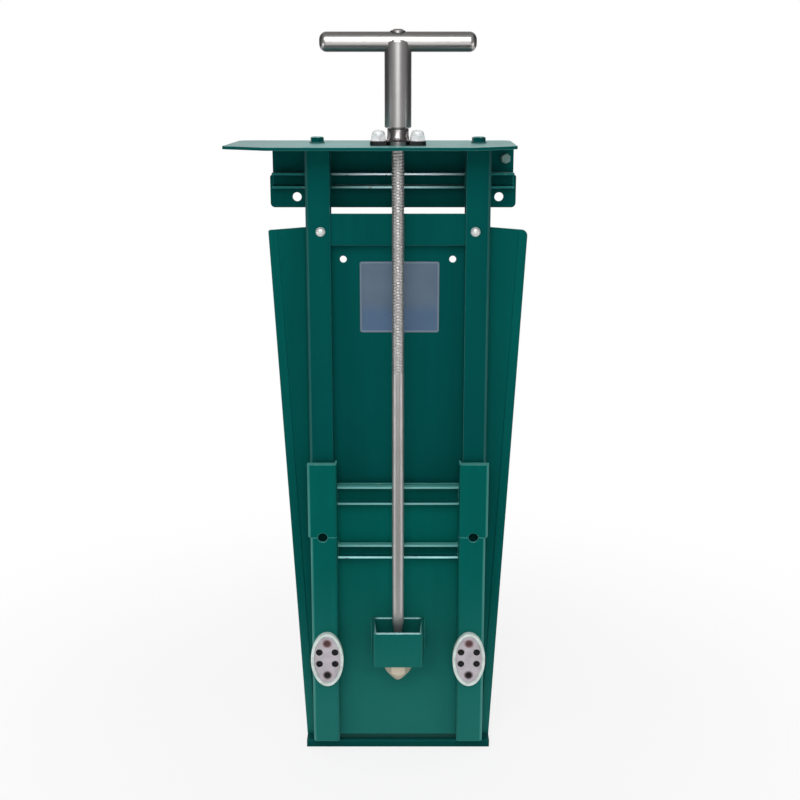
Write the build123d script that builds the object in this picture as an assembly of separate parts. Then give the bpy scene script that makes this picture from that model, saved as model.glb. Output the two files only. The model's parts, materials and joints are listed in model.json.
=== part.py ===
from build123d import *
import math
import os

# Sluice gate for a small open channel, in millimetres.
# X runs across the waterway to the right, Y from the front to the back, Z up.
# The origin is the middle of the sill's underside. The gate stands shut.

# Frame: two folded guides on a sill
guide_outer_width = 240.0
guide_flange = 32.0
guide_depth = 40.0
guide_sheet = 3.0
guide_bend = 2.5
guide_cap = 6.0
sill_height = 11.0

# Wings that close the sloping sides of the channel
wing_sheet = 3.0
wing_reach_top = 50.0
wing_reach_bottom = 11.5
wing_height = 744.0
wing_top_rise = 4.0
wing_corner_left = 2.5
wing_corner_right = 8.0
wing_hem_width = 12.0
wing_hem_step = 1.0

# Leaf: the plate that is lifted, with its two channel ribs
leaf_sheet = 4.0
leaf_top = 398.8
leaf_setback = 2.0
leaf_side_gap = 5.0
seal_height = 7.0
seal_thickness = 6.0
running_gap = 0.3
top_rib_height = 26.0
lower_rib_drop = 84.1
lower_rib_height = 20.0
rib_depth = 14.0
rib_sheet = 3.0
rib_bend = 1.0

# Stiles: folded channels that ride over the front of the guides
stile_clearance = 5.0
stile_side_gap = 2.0
stile_depth = 11.0
stile_sheet = 3.0
stile_bend = 2.0
stile_rise = 33.5
stile_joint_drop = 71.0
stile_overlap = 3.0
stile_step = 3.0
stile_hole_d = 13.0

# Oval grip pads on the lower stiles
pad_width = 45.5
pad_height = 79.5
pad_thickness = 8.0
pad_level = 148.5
pad_inset = 2.5
pad_rim = 4.0
pad_recess = 2.5
pad_hole_d = 9.3
pad_hole_pitch_x = 22.0
pad_hole_pitch_z = 17.5
pad_pattern_rise = 2.0
pad_dimple_d = 8.0
pad_dimple_depth = 2.5
pad_dimple_pitch = 48.0

# Bracket that carries the foot of the spindle
bracket_width_back = 74.0
bracket_width_front = 67.0
bracket_depth = 54.0
bracket_bottom = 150.0
bracket_height = 50.5
bracket_wall = 4.0
bracket_floor = 6.0
bracket_bend = 3.0

# Spindle and its handle
spindle_d = 16.0
spindle_offset = 27.0
neck_d = 12.0
neck_drop = 6.0
neck_taper = 12.0
bore_gap = 0.1
collar_d = 26.0
collar_height = 8.0
nut_across_flats = 32.0
nut_height = 14.0
nut_cone = 13.0
nut_tip_d = 14.0
nut_tip = 2.5
tube_d = 33.7
tube_bottom = 877.0
tube_chamfer = 1.5
bar_d = 24.5
bar_level = 981.0
bar_length = 194.0
bar_end = 9.0
hump_height = 3.0
tip_face_share = 0.6

# Fixed plates above the leaf
panel_sheet = 3.0
panel_setback = 16.0
panel_top = 752.0
panel_lap = 30.0
panel_hole_d = 9.0
panel_hole_pitch = 144.0
panel_hole_level = 706.0
name_plate_width = 105.0
name_plate_x = 2.0
name_plate_bottom = 608.0
name_plate_height = 95.0
name_plate_sheet = 1.2
name_plate_corner = 3.0
cross_plate_sheet = 4.0
cross_plate_bottom = 726.0
cross_plate_height = 41.0
cross_plate_side_gap = 3.0

# Beam behind the guides, with its channel
beam_left = 166.0
beam_right = 153.0
beam_sheet = 4.0
beam_bottom = 769.0
beam_corner = 6.0
beam_step = 4.0
beam_step_level = 812.0
beam_step_corner = 3.0
beam_hole_d = 12.0
beam_hole_pitch = 269.0
beam_hole_level = 783.0
channel_depth = 20.0
channel_bottom = 796.0
channel_height = 20.0
channel_sheet = 3.0
channel_bend = 1.5
beam_bolt_x = 142.0
beam_bolt_level = 833.5

# Deck plate on top, cut back at its front corners
deck_top = 856.0
deck_sheet = 4.0
deck_left = 219.0
deck_right = 149.0
deck_front = 91.0
deck_back = 56.0
deck_taper = 9.0
deck_cut_x = 56.0
deck_cut_y = 30.0
deck_corner = 4.0
deck_back_corner = 12.0
deck_hole_gap = 2.5

# Nut that the spindle screws through: a hub on an oblong foot, in a forked keeper
nut_foot_width = 28.0
nut_foot_length = 42.0
nut_foot_flare = 6.0
hub_d = 27.0
hub_chamfer = 1.0
keeper_width = 70.0
keeper_front = 18.0
keeper_back = 28.0
keeper_thickness = 5.0
keeper_corner = 8.0
keeper_gap = 0.3
plate_bolt_pitch = 49.0

# Bolts: width over the flats, head height, shank; the keeper's have washers and domed nuts
deck_bolt_flats = 16.0
deck_bolt_head = 8.0
deck_bolt_shank_d = 10.0
deck_bolt_reach = 9.0
plate_bolt_flats = 17.0
plate_bolt_head = 6.5
plate_bolt_dome_d = 15.5
plate_bolt_dome = 6.0
plate_washer_d = 20.0
plate_washer = 1.5
plate_bolt_shank_d = 10.0
cross_bolt_head_d = 12.5
cross_bolt_head = 6.0
cross_bolt_shank_d = 8.0
cross_bolt_inset = 19.5
cross_bolt_level = 744.0
beam_bolt_flats = 13.0
beam_bolt_head = 5.5
beam_bolt_shank_d = 8.0
hole_gap = 0.25
bolt_face_share = 0.86
flare_shares = (0.29, 0.29)
crown_shares = ((1.0, 0.0), (1.0, 0.3), (0.88, 0.66), (0.6, 0.92), (0.3, 1.0), (0.0, 1.0))

# Places worked out from the sizes above
half_outer = guide_outer_width / 2
sill_half = half_outer + wing_reach_bottom
guide_inner = half_outer - guide_flange
guide_front = -guide_depth / 2
guide_back = guide_depth / 2
guide_web = half_outer - guide_sheet
deck_bottom = deck_top - deck_sheet
leaf_front = guide_front + guide_sheet + leaf_setback
leaf_back = leaf_front + leaf_sheet
leaf_half = guide_web - leaf_side_gap
seal_bottom = sill_height + running_gap
leaf_bottom = seal_bottom + seal_height
stile_back = guide_front - stile_clearance
stile_front = stile_back - stile_depth
stile_inner = guide_inner - stile_side_gap - stile_sheet
stile_outer = half_outer + stile_overlap
stile_middle = (stile_inner + stile_outer) / 2
stile_top = leaf_top + stile_rise
stile_joint = leaf_top - stile_joint_drop
panel_front = guide_front + panel_setback
beam_front = guide_back + channel_depth
spindle_y = leaf_front - spindle_offset
bolt_x = half_outer - guide_flange / 2
cross_bolt_x = half_outer - cross_bolt_inset
floor_top = bracket_bottom + bracket_floor
shoulder = floor_top + running_gap
nut_seat = bracket_bottom - running_gap
spindle_end = bar_level + bar_d / 2 + hump_height
hub_height = tube_bottom - running_gap - deck_top - keeper_thickness
overrun = guide_sheet


def save(shape, node):
    os.makedirs("parts", exist_ok=True)
    export_step(shape, f"parts/{node}.step")


def block(x, y, z):
    """A box from three pairs of low and high places."""
    size = [high - low for low, high in (x, y, z)]
    middle = [(high + low) / 2 for low, high in (x, y, z)]
    return Pos(*middle) * Box(*size)


def folded(path, sheet, bend):
    """The section of a folded sheet whose middle line follows the path."""
    return trace(FilletPolyline(*path, radius=bend + sheet / 2), sheet)


def upright(section, bottom, top):
    """A plan section raised from one level to another."""
    return Pos(0, 0, bottom) * extrude(section, top - bottom)


def crosswise(section, left, right):
    """A section drawn in Y and Z, run along X."""
    return Pos(left, 0, 0) * extrude(Plane.YZ * section, right - left)


def drill(diameter, x, z, front, back):
    """A round hole along Y, with an overrun at both faces."""
    length = back - front + 2 * overrun
    return Pos(x, (front + back) / 2, z) * Rot(90, 0, 0) * Cylinder(diameter / 2, length)


def bolt(flats, head, shank_d, reach):
    """A hexagon bolt, head upwards, seated on the plane Z = 0."""
    hexagon = RegularPolygon(flats / 2, 6, major_radius=False)
    corner = flats / 2 / math.cos(math.radians(30))
    face = flats / 2 * bolt_face_share
    turned_edge = head - (corner - face) * math.tan(math.radians(30))
    outline = Polyline(
        (0, 0), (corner, 0), (corner, turned_edge), (face, head), (0, head), close=True
    )
    cap = extrude(hexagon, head) & turned(outline)
    return cap + Pos(0, 0, -reach / 2) * Cylinder(shank_d / 2, reach)


def turned(outline):
    """A solid of revolution about the Z axis from half its outline."""
    return revolve(Plane.XZ * make_face(outline), Axis.Z)


def rounded_bolt(head_d, head, shank_d, reach):
    """A round-headed bolt, head upwards, seated on the plane Z = 0."""
    crown = [(x * head_d / 2, z * head) for x, z in crown_shares]
    cap = turned(Polyline((0, 0), *crown, close=True))
    return cap + Pos(0, 0, -reach / 2) * Cylinder(shank_d / 2, reach)


def both_sides(shape, name):
    """Writes the right-hand piece and its mirror on the left."""
    save(shape, f"right_{name}")
    save(mirror(shape, Plane.YZ), f"left_{name}")


def guide():
    """A C-shaped guide, open towards the leaf, with a cap that takes the deck bolt."""
    half_sheet = guide_sheet / 2
    path = [
        (guide_inner, guide_front + half_sheet),
        (half_outer - half_sheet, guide_front + half_sheet),
        (half_outer - half_sheet, guide_back - half_sheet),
        (guide_inner, guide_back - half_sheet),
    ]
    rail = upright(folded(path, guide_sheet, guide_bend), sill_height, deck_bottom)
    cap = block(
        (guide_inner, guide_web),
        (guide_front + guide_sheet, guide_back - guide_sheet),
        (deck_bottom - guide_cap, deck_bottom),
    )
    tapped = Pos(bolt_x, 0, deck_bottom - guide_cap / 2) * Cylinder(
        deck_bolt_shank_d / 2 + hole_gap, guide_cap + 2 * overrun
    )
    fixing = drill(
        cross_bolt_shank_d + 2 * hole_gap,
        cross_bolt_x,
        cross_bolt_level,
        guide_front,
        guide_front + guide_sheet,
    )
    return rail + cap - tapped - fixing


def wing(top_corner):
    """A sloping side plate that stands on the sill, hemmed along its outer edge."""
    top_x = half_outer + wing_reach_top
    outline = Polyline(
        (half_outer, sill_height),
        (sill_half, sill_height),
        (top_x, wing_height),
        (half_outer, wing_height + wing_top_rise),
        close=True,
    )
    face = make_face(outline)
    corner = face.vertices().sort_by(Axis.X)[-1]
    face = fillet(corner, top_corner)
    sheet = extrude(Plane.XZ * face, wing_sheet / 2, both=True)
    strip = face - Pos(-wing_hem_width, 0) * face
    hem = extrude(Plane.XZ * strip, wing_sheet / 2 + wing_hem_step)
    hem = hem & block(
        (sill_half - wing_hem_width, top_x + overrun),
        (-guide_depth, 0),
        (sill_height, wing_height + wing_top_rise),
    )
    return sheet + hem


def sill():
    """The bar across the foot of the frame, as long as the wings' feet reach."""
    return block((-sill_half, sill_half), (guide_front, guide_back), (0, sill_height))


def breast_panel():
    """The fixed sheet above the leaf."""
    sheet = block(
        (-guide_web, guide_web),
        (panel_front, panel_front + panel_sheet),
        (leaf_top - panel_lap, panel_top),
    )
    for x in (-panel_hole_pitch / 2, panel_hole_pitch / 2):
        sheet -= drill(panel_hole_d, x, panel_hole_level, panel_front, panel_front + panel_sheet)
    return sheet


def name_plate():
    """A bare plate on the breast panel."""
    face = RectangleRounded(name_plate_width, name_plate_height, name_plate_corner)
    plate = extrude(Plane.XZ * face, name_plate_sheet)
    return Pos(name_plate_x, panel_front, name_plate_bottom + name_plate_height / 2) * plate


def cross_plate():
    """The tie plate behind the guides' front flanges."""
    front = guide_front + guide_sheet
    half = guide_web - cross_plate_side_gap
    plate = block(
        (-half, half),
        (front, front + cross_plate_sheet),
        (cross_plate_bottom, cross_plate_bottom + cross_plate_height),
    )
    for x in (-cross_bolt_x, cross_bolt_x):
        plate -= drill(
            cross_bolt_shank_d + 2 * hole_gap,
            x,
            cross_bolt_level,
            front,
            front + cross_plate_sheet,
        )
    return plate


def cross_bolt():
    """A bolt through a guide's flange into the cross plate."""
    reach = guide_sheet + cross_plate_sheet
    body = rounded_bolt(cross_bolt_head_d, cross_bolt_head, cross_bolt_shank_d, reach)
    return Pos(cross_bolt_x, guide_front, cross_bolt_level) * Rot(90, 0, 0) * body


def top_beam():
    """The fixing plate behind the guides, wider at its foot, with a hole at each end."""
    foot_left = -beam_left - beam_step
    foot_right = beam_right + beam_step
    face = make_face(Polyline(
        (foot_left, beam_bottom),
        (foot_right, beam_bottom),
        (foot_right, beam_step_level),
        (beam_right, beam_step_level),
        (beam_right, deck_bottom),
        (-beam_left, deck_bottom),
        (-beam_left, beam_step_level),
        (foot_left, beam_step_level),
        close=True,
    ))
    for end in (0, -1):
        corner = face.vertices().group_by(Axis.X)[end].sort_by(Axis.Y)[-1]
        face = fillet(corner, beam_step_corner)
    face = fillet(face.vertices().sort_by(Axis.Y)[:2], beam_corner)
    plate = Pos(0, beam_front + beam_sheet, 0) * extrude(Plane.XZ * face, beam_sheet)
    for x in (-beam_hole_pitch / 2, beam_hole_pitch / 2):
        plate -= drill(beam_hole_d, x, beam_hole_level, beam_front, beam_front + beam_sheet)
    plate -= drill(
        beam_bolt_shank_d + 2 * hole_gap,
        beam_bolt_x,
        beam_bolt_level,
        beam_front,
        beam_front + beam_sheet,
    )
    return plate


def channel_section(front, back, bottom, top, sheet, bend):
    """A channel lying on its web, open towards the front, drawn in Y and Z."""
    half_sheet = sheet / 2
    path = [
        (front, bottom + half_sheet),
        (back - half_sheet, bottom + half_sheet),
        (back - half_sheet, top - half_sheet),
        (front, top - half_sheet),
    ]
    return folded(path, sheet, bend)


def beam_channel():
    """The channel between the guides' backs and the beam."""
    section = channel_section(
        guide_back,
        beam_front,
        channel_bottom,
        channel_bottom + channel_height,
        channel_sheet,
        channel_bend,
    )
    return crosswise(section, -beam_left, beam_right)


def beam_bolt():
    """The single bolt at the right end of the beam."""
    body = bolt(beam_bolt_flats, beam_bolt_head, beam_bolt_shank_d, beam_sheet)
    return Pos(beam_bolt_x, beam_front, beam_bolt_level) * Rot(90, 0, 0) * body


def deck_plate():
    """The top plate, its front corners cut off at a slant and its back corners rounded."""
    face = make_face(Polyline(
        (-deck_left, -deck_front + deck_cut_y),
        (-deck_left + deck_cut_x, -deck_front),
        (deck_right - deck_cut_x, -deck_front),
        (deck_right, -deck_front + deck_cut_y),
        (deck_right, deck_back),
        (-deck_left + deck_taper, deck_back),
        close=True,
    ))
    face = fillet(face.vertices().sort_by(Axis.Y)[:4], deck_corner)
    face = fillet(face.vertices().sort_by(Axis.Y)[-2:], deck_back_corner)
    plate = upright(face, deck_bottom, deck_top)
    middle = deck_top - deck_sheet / 2
    length = deck_sheet + 2 * overrun
    plate -= Pos(0, spindle_y, middle) * Cylinder(spindle_d / 2 + deck_hole_gap, length)
    for side in (-1, 1):
        plate -= Pos(side * bolt_x, 0, middle) * Cylinder(
            deck_bolt_shank_d / 2 + hole_gap, length
        )
        plate -= Pos(side * plate_bolt_pitch / 2, spindle_y, middle) * Cylinder(
            plate_bolt_shank_d / 2 + hole_gap, length
        )
    return plate


def deck_bolt():
    """The bolt that holds the deck down on a guide."""
    body = bolt(deck_bolt_flats, deck_bolt_head, deck_bolt_shank_d, deck_bolt_reach)
    return Pos(bolt_x, 0, deck_top) * Rot(0, 0, 30) * body


def nut_foot(margin):
    """The plan of the nut's oblong foot, its ends to the front and the back."""
    return Rot(0, 0, 90) * SlotOverall(nut_foot_length + 2 * margin, nut_foot_width + 2 * margin)


def spindle_nut():
    """The nut on the deck: a hub that flares into an oblong foot."""
    hub = hub_d / 2
    reach = nut_foot_length / 2
    top = keeper_thickness + hub_height
    flare_top = keeper_thickness + nut_foot_flare
    slope = hub + (reach - hub) * flare_shares[0]
    rise = keeper_thickness + nut_foot_flare * flare_shares[1]
    outline = Polyline(
        (0, 0),
        (reach, 0),
        (reach, keeper_thickness),
        (slope, rise),
        (hub, flare_top),
        (hub, top - hub_chamfer),
        (hub - hub_chamfer, top),
        (0, top),
        close=True,
    )
    body = turned(outline) & upright(nut_foot(0), 0, top)
    body -= Pos(0, 0, top / 2) * Cylinder(spindle_d / 2 + bore_gap, top + 2 * overrun)
    return Pos(0, spindle_y, deck_top) * body


def nut_keeper():
    """The forked plate that holds the nut's foot down, open to the front."""
    depth = keeper_front + keeper_back
    plan = Pos(0, (keeper_back - keeper_front) / 2) * RectangleRounded(
        keeper_width, depth, keeper_corner
    )
    slot = nut_foot(keeper_gap)
    plate = extrude(plan - slot - Pos(0, -keeper_front) * slot, keeper_thickness)
    for side in (-1, 1):
        plate -= Pos(side * plate_bolt_pitch / 2, 0, keeper_thickness / 2) * Cylinder(
            plate_bolt_shank_d / 2 + hole_gap, keeper_thickness + 2 * overrun
        )
    return Pos(0, spindle_y, deck_top) * plate


def plate_bolt():
    """A bright bolt with a washer and a domed nut that holds the keeper to the deck."""
    reach = keeper_thickness + deck_sheet
    washer = Pos(0, 0, plate_washer / 2) * Cylinder(plate_washer_d / 2, plate_washer)
    head = Pos(0, 0, plate_washer) * bolt(
        plate_bolt_flats, plate_bolt_head, plate_bolt_shank_d, reach + plate_washer
    )
    crown = [(x * plate_bolt_dome_d / 2, z * plate_bolt_dome) for x, z in crown_shares]
    dome = Pos(0, 0, plate_washer + plate_bolt_head) * turned(Polyline((0, 0), *crown, close=True))
    return Pos(plate_bolt_pitch / 2, spindle_y, deck_top + keeper_thickness) * (
        washer + head + dome
    )


def leaf_plate():
    """The skin plate that shuts the waterway; its edges run in the guides."""
    return block((-leaf_half, leaf_half), (leaf_front, leaf_back), (leaf_bottom, leaf_top))


def bottom_seal():
    """The rubber strip under the leaf."""
    return block(
        (-leaf_half, leaf_half),
        (leaf_front, leaf_front + seal_thickness),
        (seal_bottom, leaf_bottom),
    )


def rib(top, height):
    """A channel across the leaf between the stiles, open to the front."""
    section = channel_section(
        leaf_front - rib_depth, leaf_front, top - height, top, rib_sheet, rib_bend
    )
    return crosswise(section, -stile_inner, stile_inner)


def stile(bottom, top, outer):
    """A folded stile: one leg back to the leaf, a front face, and a short outer leg."""
    half_sheet = stile_sheet / 2
    path = [
        (stile_inner + half_sheet, leaf_front),
        (stile_inner + half_sheet, stile_front + half_sheet),
        (outer - half_sheet, stile_front + half_sheet),
        (outer - half_sheet, stile_back),
    ]
    channel = upright(folded(path, stile_sheet, stile_bend), bottom, top)
    return channel - drill(stile_hole_d, stile_middle, stile_joint, stile_front, stile_back)


def stile_upper():
    """The upper stile, closed by a lid at its top."""
    lid = block(
        (stile_inner + stile_sheet, stile_outer - stile_sheet),
        (stile_front + stile_sheet, stile_back),
        (stile_top - stile_sheet, stile_top),
    )
    return stile(stile_joint, stile_top, stile_outer) + lid


def stile_lower():
    """The lower stile, a little narrower than the upper one."""
    return stile(leaf_bottom, stile_joint, stile_outer - stile_step)


def oval_pad():
    """An oval cast pad with a raised rim, four holes and two dimples."""
    face = Ellipse(pad_width / 2, pad_height / 2)
    body = extrude(face, pad_thickness)
    inner = Ellipse(pad_width / 2 - pad_rim, pad_height / 2 - pad_rim)
    body -= Pos(0, 0, pad_thickness - pad_recess) * extrude(inner, pad_recess + overrun)
    for x in (-pad_hole_pitch_x / 2, pad_hole_pitch_x / 2):
        for z in (-pad_hole_pitch_z / 2, pad_hole_pitch_z / 2):
            body -= Pos(x, z + pad_pattern_rise, pad_thickness / 2) * Cylinder(
                pad_hole_d / 2, pad_thickness + 2 * overrun
            )
    dimple = Polyline((0, 0), (0, -pad_dimple_depth), (pad_dimple_d / 2, 0), close=True)
    for z in (-pad_dimple_pitch / 2, pad_dimple_pitch / 2):
        body -= Pos(0, z, pad_thickness - pad_recess) * turned(dimple)
    centre = stile_middle - stile_step / 2 - pad_inset
    return Pos(centre, stile_front, pad_level) * Rot(90, 0, 0) * body


def bracket():
    """The open-topped box on the leaf that holds the foot of the spindle."""
    half_back = bracket_width_back / 2
    half_front = bracket_width_front / 2
    face = make_face(Polyline(
        (-half_back, leaf_front),
        (half_back, leaf_front),
        (half_front, leaf_front - bracket_depth),
        (-half_front, leaf_front - bracket_depth),
        close=True,
    ))
    face = fillet(face.vertices().sort_by(Axis.Y)[:2], bracket_bend)
    body = upright(face, bracket_bottom, bracket_bottom + bracket_height)
    room = offset(face, -bracket_wall, kind=Kind.INTERSECTION)
    body -= upright(room, floor_top, bracket_bottom + bracket_height + overrun)
    hole = Cylinder(neck_d / 2 + bore_gap, bracket_floor + 2 * overrun)
    return body - Pos(0, spindle_y, bracket_bottom + bracket_floor / 2) * hole


def spindle_rod():
    """The round spindle, necked where it passes the bracket's floor, bevelled at its top."""
    radius = spindle_d / 2
    foot = nut_seat - nut_height
    neck_top = bracket_bottom + bracket_height - neck_drop
    profile = Polyline(
        (0, foot),
        (neck_d / 2, foot),
        (neck_d / 2, neck_top),
        (radius, neck_top + neck_taper),
        (radius, spindle_end - hump_height),
        (radius * tip_face_share, spindle_end),
        (0, spindle_end),
        close=True,
    )
    return Pos(0, spindle_y, 0) * turned(profile)


def thrust_collar():
    """The collar that bears on the bracket's floor."""
    ring = Cylinder(collar_d / 2, collar_height) - Cylinder(neck_d / 2, collar_height)
    return Pos(0, spindle_y, shoulder + collar_height / 2) * ring


def foot_nut():
    """The nut under the bracket: hexagon bar turned down to a cone with a blunt tip."""
    corner = nut_across_flats / 2 / math.cos(math.radians(30))
    tip = nut_tip_d / 2
    point = nut_height + nut_cone + nut_tip
    outline = Polyline(
        (0, 0),
        (corner, 0),
        (corner, -nut_height),
        (tip, -nut_height - nut_cone),
        (tip * tip_face_share, -point),
        (0, -point),
        close=True,
    )
    hexagon = extrude(RegularPolygon(nut_across_flats / 2, 6, major_radius=False), -point)
    bore = Pos(0, 0, -nut_height / 2) * Cylinder(neck_d / 2, nut_height)
    return Pos(0, spindle_y, nut_seat) * ((hexagon & turned(outline)) - bore)


def handle_tube():
    """The pipe over the spindle's upper end, coped to the bar."""
    top = bar_level
    height = top - tube_bottom
    pipe = Pos(0, spindle_y, tube_bottom + height / 2) * Cylinder(tube_d / 2, height)
    rim = pipe.edges().filter_by(GeomType.CIRCLE).sort_by(Axis.Z)[0]
    pipe = chamfer(rim, tube_chamfer)
    bore = Pos(0, spindle_y, tube_bottom + height / 2) * Cylinder(
        spindle_d / 2, height + 2 * overrun
    )
    cope = Pos(0, spindle_y, bar_level) * Rot(0, 90, 0) * Cylinder(bar_d / 2, tube_d + 2 * overrun)
    return pipe - bore - cope


def handle_bar():
    """The cross bar of the handle, with rounded ends and a hole for the spindle."""
    bar = Rot(0, 90, 0) * Cylinder(bar_d / 2, bar_length)
    bar = fillet(bar.edges().filter_by(GeomType.CIRCLE), bar_end)
    bar -= Cylinder(spindle_d / 2, bar_d + 2 * overrun)
    return Pos(0, spindle_y, bar_level) * bar


both_sides(guide(), "guide")
save(wing(wing_corner_right), "right_wing")
save(mirror(wing(wing_corner_left), Plane.YZ), "left_wing")
save(sill(), "sill")
save(breast_panel(), "breast_panel")
save(name_plate(), "name_plate")
save(cross_plate(), "cross_plate")
both_sides(cross_bolt(), "cross_bolt")
save(top_beam(), "top_beam")
save(beam_channel(), "beam_channel")
save(beam_bolt(), "beam_bolt")
save(deck_plate(), "deck_plate")
both_sides(deck_bolt(), "deck_bolt")
save(spindle_nut(), "spindle_nut")
save(nut_keeper(), "nut_keeper")
both_sides(plate_bolt(), "nut_bolt")
save(leaf_plate(), "leaf_plate")
save(bottom_seal(), "bottom_seal")
save(rib(leaf_top, top_rib_height), "top_rib")
save(rib(leaf_top - lower_rib_drop, lower_rib_height), "lower_rib")
both_sides(stile_upper(), "stile_upper")
both_sides(stile_lower(), "stile_lower")
both_sides(oval_pad(), "oval_pad")
save(bracket(), "spindle_bracket")
save(spindle_rod(), "spindle_rod")
save(thrust_collar(), "thrust_collar")
save(foot_nut(), "foot_nut")
save(handle_tube(), "handle_tube")
save(handle_bar(), "handle_bar")
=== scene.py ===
# %% [markdown]
# # A small sluice gate
#
# The real object shuts a narrow channel. Two folded steel guides stand on a sill, tapered
# wings fill the channel's sloping sides, and a ribbed leaf slides up in the guides when the
# screw spindle is turned by its T handle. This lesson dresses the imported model: the sizes and
# places come from it, and every surface gets the finish that the real one has.

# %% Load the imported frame
import json
import math

import bmesh
import bpy
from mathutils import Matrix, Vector


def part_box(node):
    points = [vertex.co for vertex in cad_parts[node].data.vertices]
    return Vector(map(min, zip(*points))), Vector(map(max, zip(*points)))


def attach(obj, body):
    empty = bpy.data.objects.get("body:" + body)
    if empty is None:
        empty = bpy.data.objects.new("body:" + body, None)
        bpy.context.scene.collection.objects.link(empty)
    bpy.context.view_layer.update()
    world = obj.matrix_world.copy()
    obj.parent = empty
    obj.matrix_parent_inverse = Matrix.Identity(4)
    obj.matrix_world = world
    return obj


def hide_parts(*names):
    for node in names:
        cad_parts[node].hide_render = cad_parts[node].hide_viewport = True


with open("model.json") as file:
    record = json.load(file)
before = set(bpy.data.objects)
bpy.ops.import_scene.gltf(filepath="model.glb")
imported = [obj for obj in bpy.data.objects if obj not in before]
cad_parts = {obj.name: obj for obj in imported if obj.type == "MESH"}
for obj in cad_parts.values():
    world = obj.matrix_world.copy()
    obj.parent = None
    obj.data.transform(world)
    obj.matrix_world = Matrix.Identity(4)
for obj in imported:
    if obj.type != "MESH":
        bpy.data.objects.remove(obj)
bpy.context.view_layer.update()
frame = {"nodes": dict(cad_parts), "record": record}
nodes = frame["nodes"]
MM = 0.001
ACROSS, BACK, UP = 0, 1, 2

# %% [markdown]
# ## The camera
#
# The upright edges in the photograph meet far below the gate. That meeting point gives the
# focal length and the tilt, and the height of the handle gives the distance. The numbers are
# kept as a photographer would state them: eye point, tilt, and focal length in pixels.

# %% The camera
PHOTO_WIDTH_PX = 800
FOCAL_PX = 1277
MIDDLE_PX = 398
EYE = Vector((0, -1675 * MM, 959 * MM))
LOOK_DOWN = math.radians(14.9)


def new_object(name, data):
    """An object in the scene that shows some data."""
    piece = bpy.data.objects.new(name, data)
    bpy.context.scene.collection.objects.link(piece)
    return piece


lens = bpy.data.cameras.new("gate_camera")
lens.sensor_width = 36
lens.lens = lens.sensor_width * FOCAL_PX / PHOTO_WIDTH_PX
lens.shift_x = 0.5 - MIDDLE_PX / PHOTO_WIDTH_PX
camera = new_object("gate_camera", lens)
camera.location = EYE
camera.rotation_euler = (math.pi / 2 - LOOK_DOWN, 0, 0)
bpy.context.scene.camera = camera
print("lens", round(lens.lens, 2), "mm")

# %% [markdown]
# ## Helpers for node trees
#
# Shader and geometry trees are built in code. A few helpers keep that readable. One makes a
# node and takes a dictionary for its inputs, where a number is set and a socket is linked.
# Another wraps a node's output, so that a sum such as slow * 0.24 + 0.88 is written as it is
# read, while Math nodes appear in the tree.

# %% Helpers: values and nodes
class Value:
    """What a node puts out. A sum that is written with it adds Math nodes to its tree."""

    def __init__(self, socket):
        self.socket = socket
        self.tree = socket.id_data

    def __add__(self, other):
        return calc("ADD", self, other)

    def __sub__(self, other):
        return calc("SUBTRACT", self, other)

    def __rsub__(self, other):
        return calc("SUBTRACT", other, self)

    def __mul__(self, other):
        return calc("MULTIPLY", self, other)

    def __truediv__(self, other):
        return calc("DIVIDE", self, other)

    def __abs__(self):
        return calc("ABSOLUTE", self)


def feed(node, inputs):
    """Sets a node's inputs, or links those that a Value feeds."""
    for key, value in inputs.items():
        if isinstance(value, Value):
            node.id_data.links.new(value.socket, node.inputs[key])
        else:
            node.inputs[key].default_value = value


def add(tree, kind, inputs=None, **settings):
    """A new node in the tree."""
    node = tree.nodes.new(kind)
    for name, value in settings.items():
        setattr(node, name, value)
    feed(node, inputs or {})
    return node


def made(tree, kind, inputs=None, output=0, **settings):
    """One output of a new node."""
    return Value(add(tree, kind, inputs, **settings).outputs[output])


def calc(operation, *numbers):
    """The result of one Math node."""
    tree = next(number.tree for number in numbers if isinstance(number, Value))
    return made(tree, "ShaderNodeMath", dict(enumerate(numbers)), operation=operation)


print("sums on sockets: + - * / and abs")

# %% Helpers: vectors, masks and colours
def values_of(node):
    """All that a node puts out, in order."""
    return [Value(socket) for socket in node.outputs]


def axes_of(vector):
    """The X, Y and Z of a vector."""
    return values_of(add(vector.tree, "ShaderNodeSeparateXYZ", {0: vector}))


def vector_of(x=0.0, y=0.0, z=0.0):
    """A vector from numbers, of which at least one is a Value."""
    tree = next(number.tree for number in (x, y, z) if isinstance(number, Value))
    return made(tree, "ShaderNodeCombineXYZ", {0: x, 1: y, 2: z})


def vector_calc(operation, inputs, output=0):
    """The result of one Vector Math node."""
    return made(inputs[0].tree, "ShaderNodeVectorMath", inputs, output, operation=operation)


def length_of(vector):
    """How long a vector is."""
    return vector_calc("LENGTH", {0: vector}, "Value")


def band(value, low, high, smooth=True):
    """0 at one value and 1 at another, with a soft or a straight step between."""
    kind = "SMOOTHSTEP" if smooth else "LINEAR"
    inputs = {"Value": value, "From Min": low, "From Max": high}
    return made(value.tree, "ShaderNodeMapRange", inputs, interpolation_type=kind)


def blended(share, first, second):
    """A blend of two colours."""
    inputs = {0: share, 6: first, 7: second}
    return made(share.tree, "ShaderNodeMix", inputs, 2, data_type="RGBA")


def noise(place, scale, detail):
    """A cloudy pattern between 0 and 1."""
    inputs = {"Vector": place, "Scale": scale, "Detail": detail}
    return made(place.tree, "ShaderNodeTexNoise", inputs, "Fac")


def object_place(tree, output="Object"):
    """Where on the piece a point lies, in metres, or with Normal, which way it faces."""
    return made(tree, "ShaderNodeTexCoord", None, output)


print("masks and colours: band, blended, noise")

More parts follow.
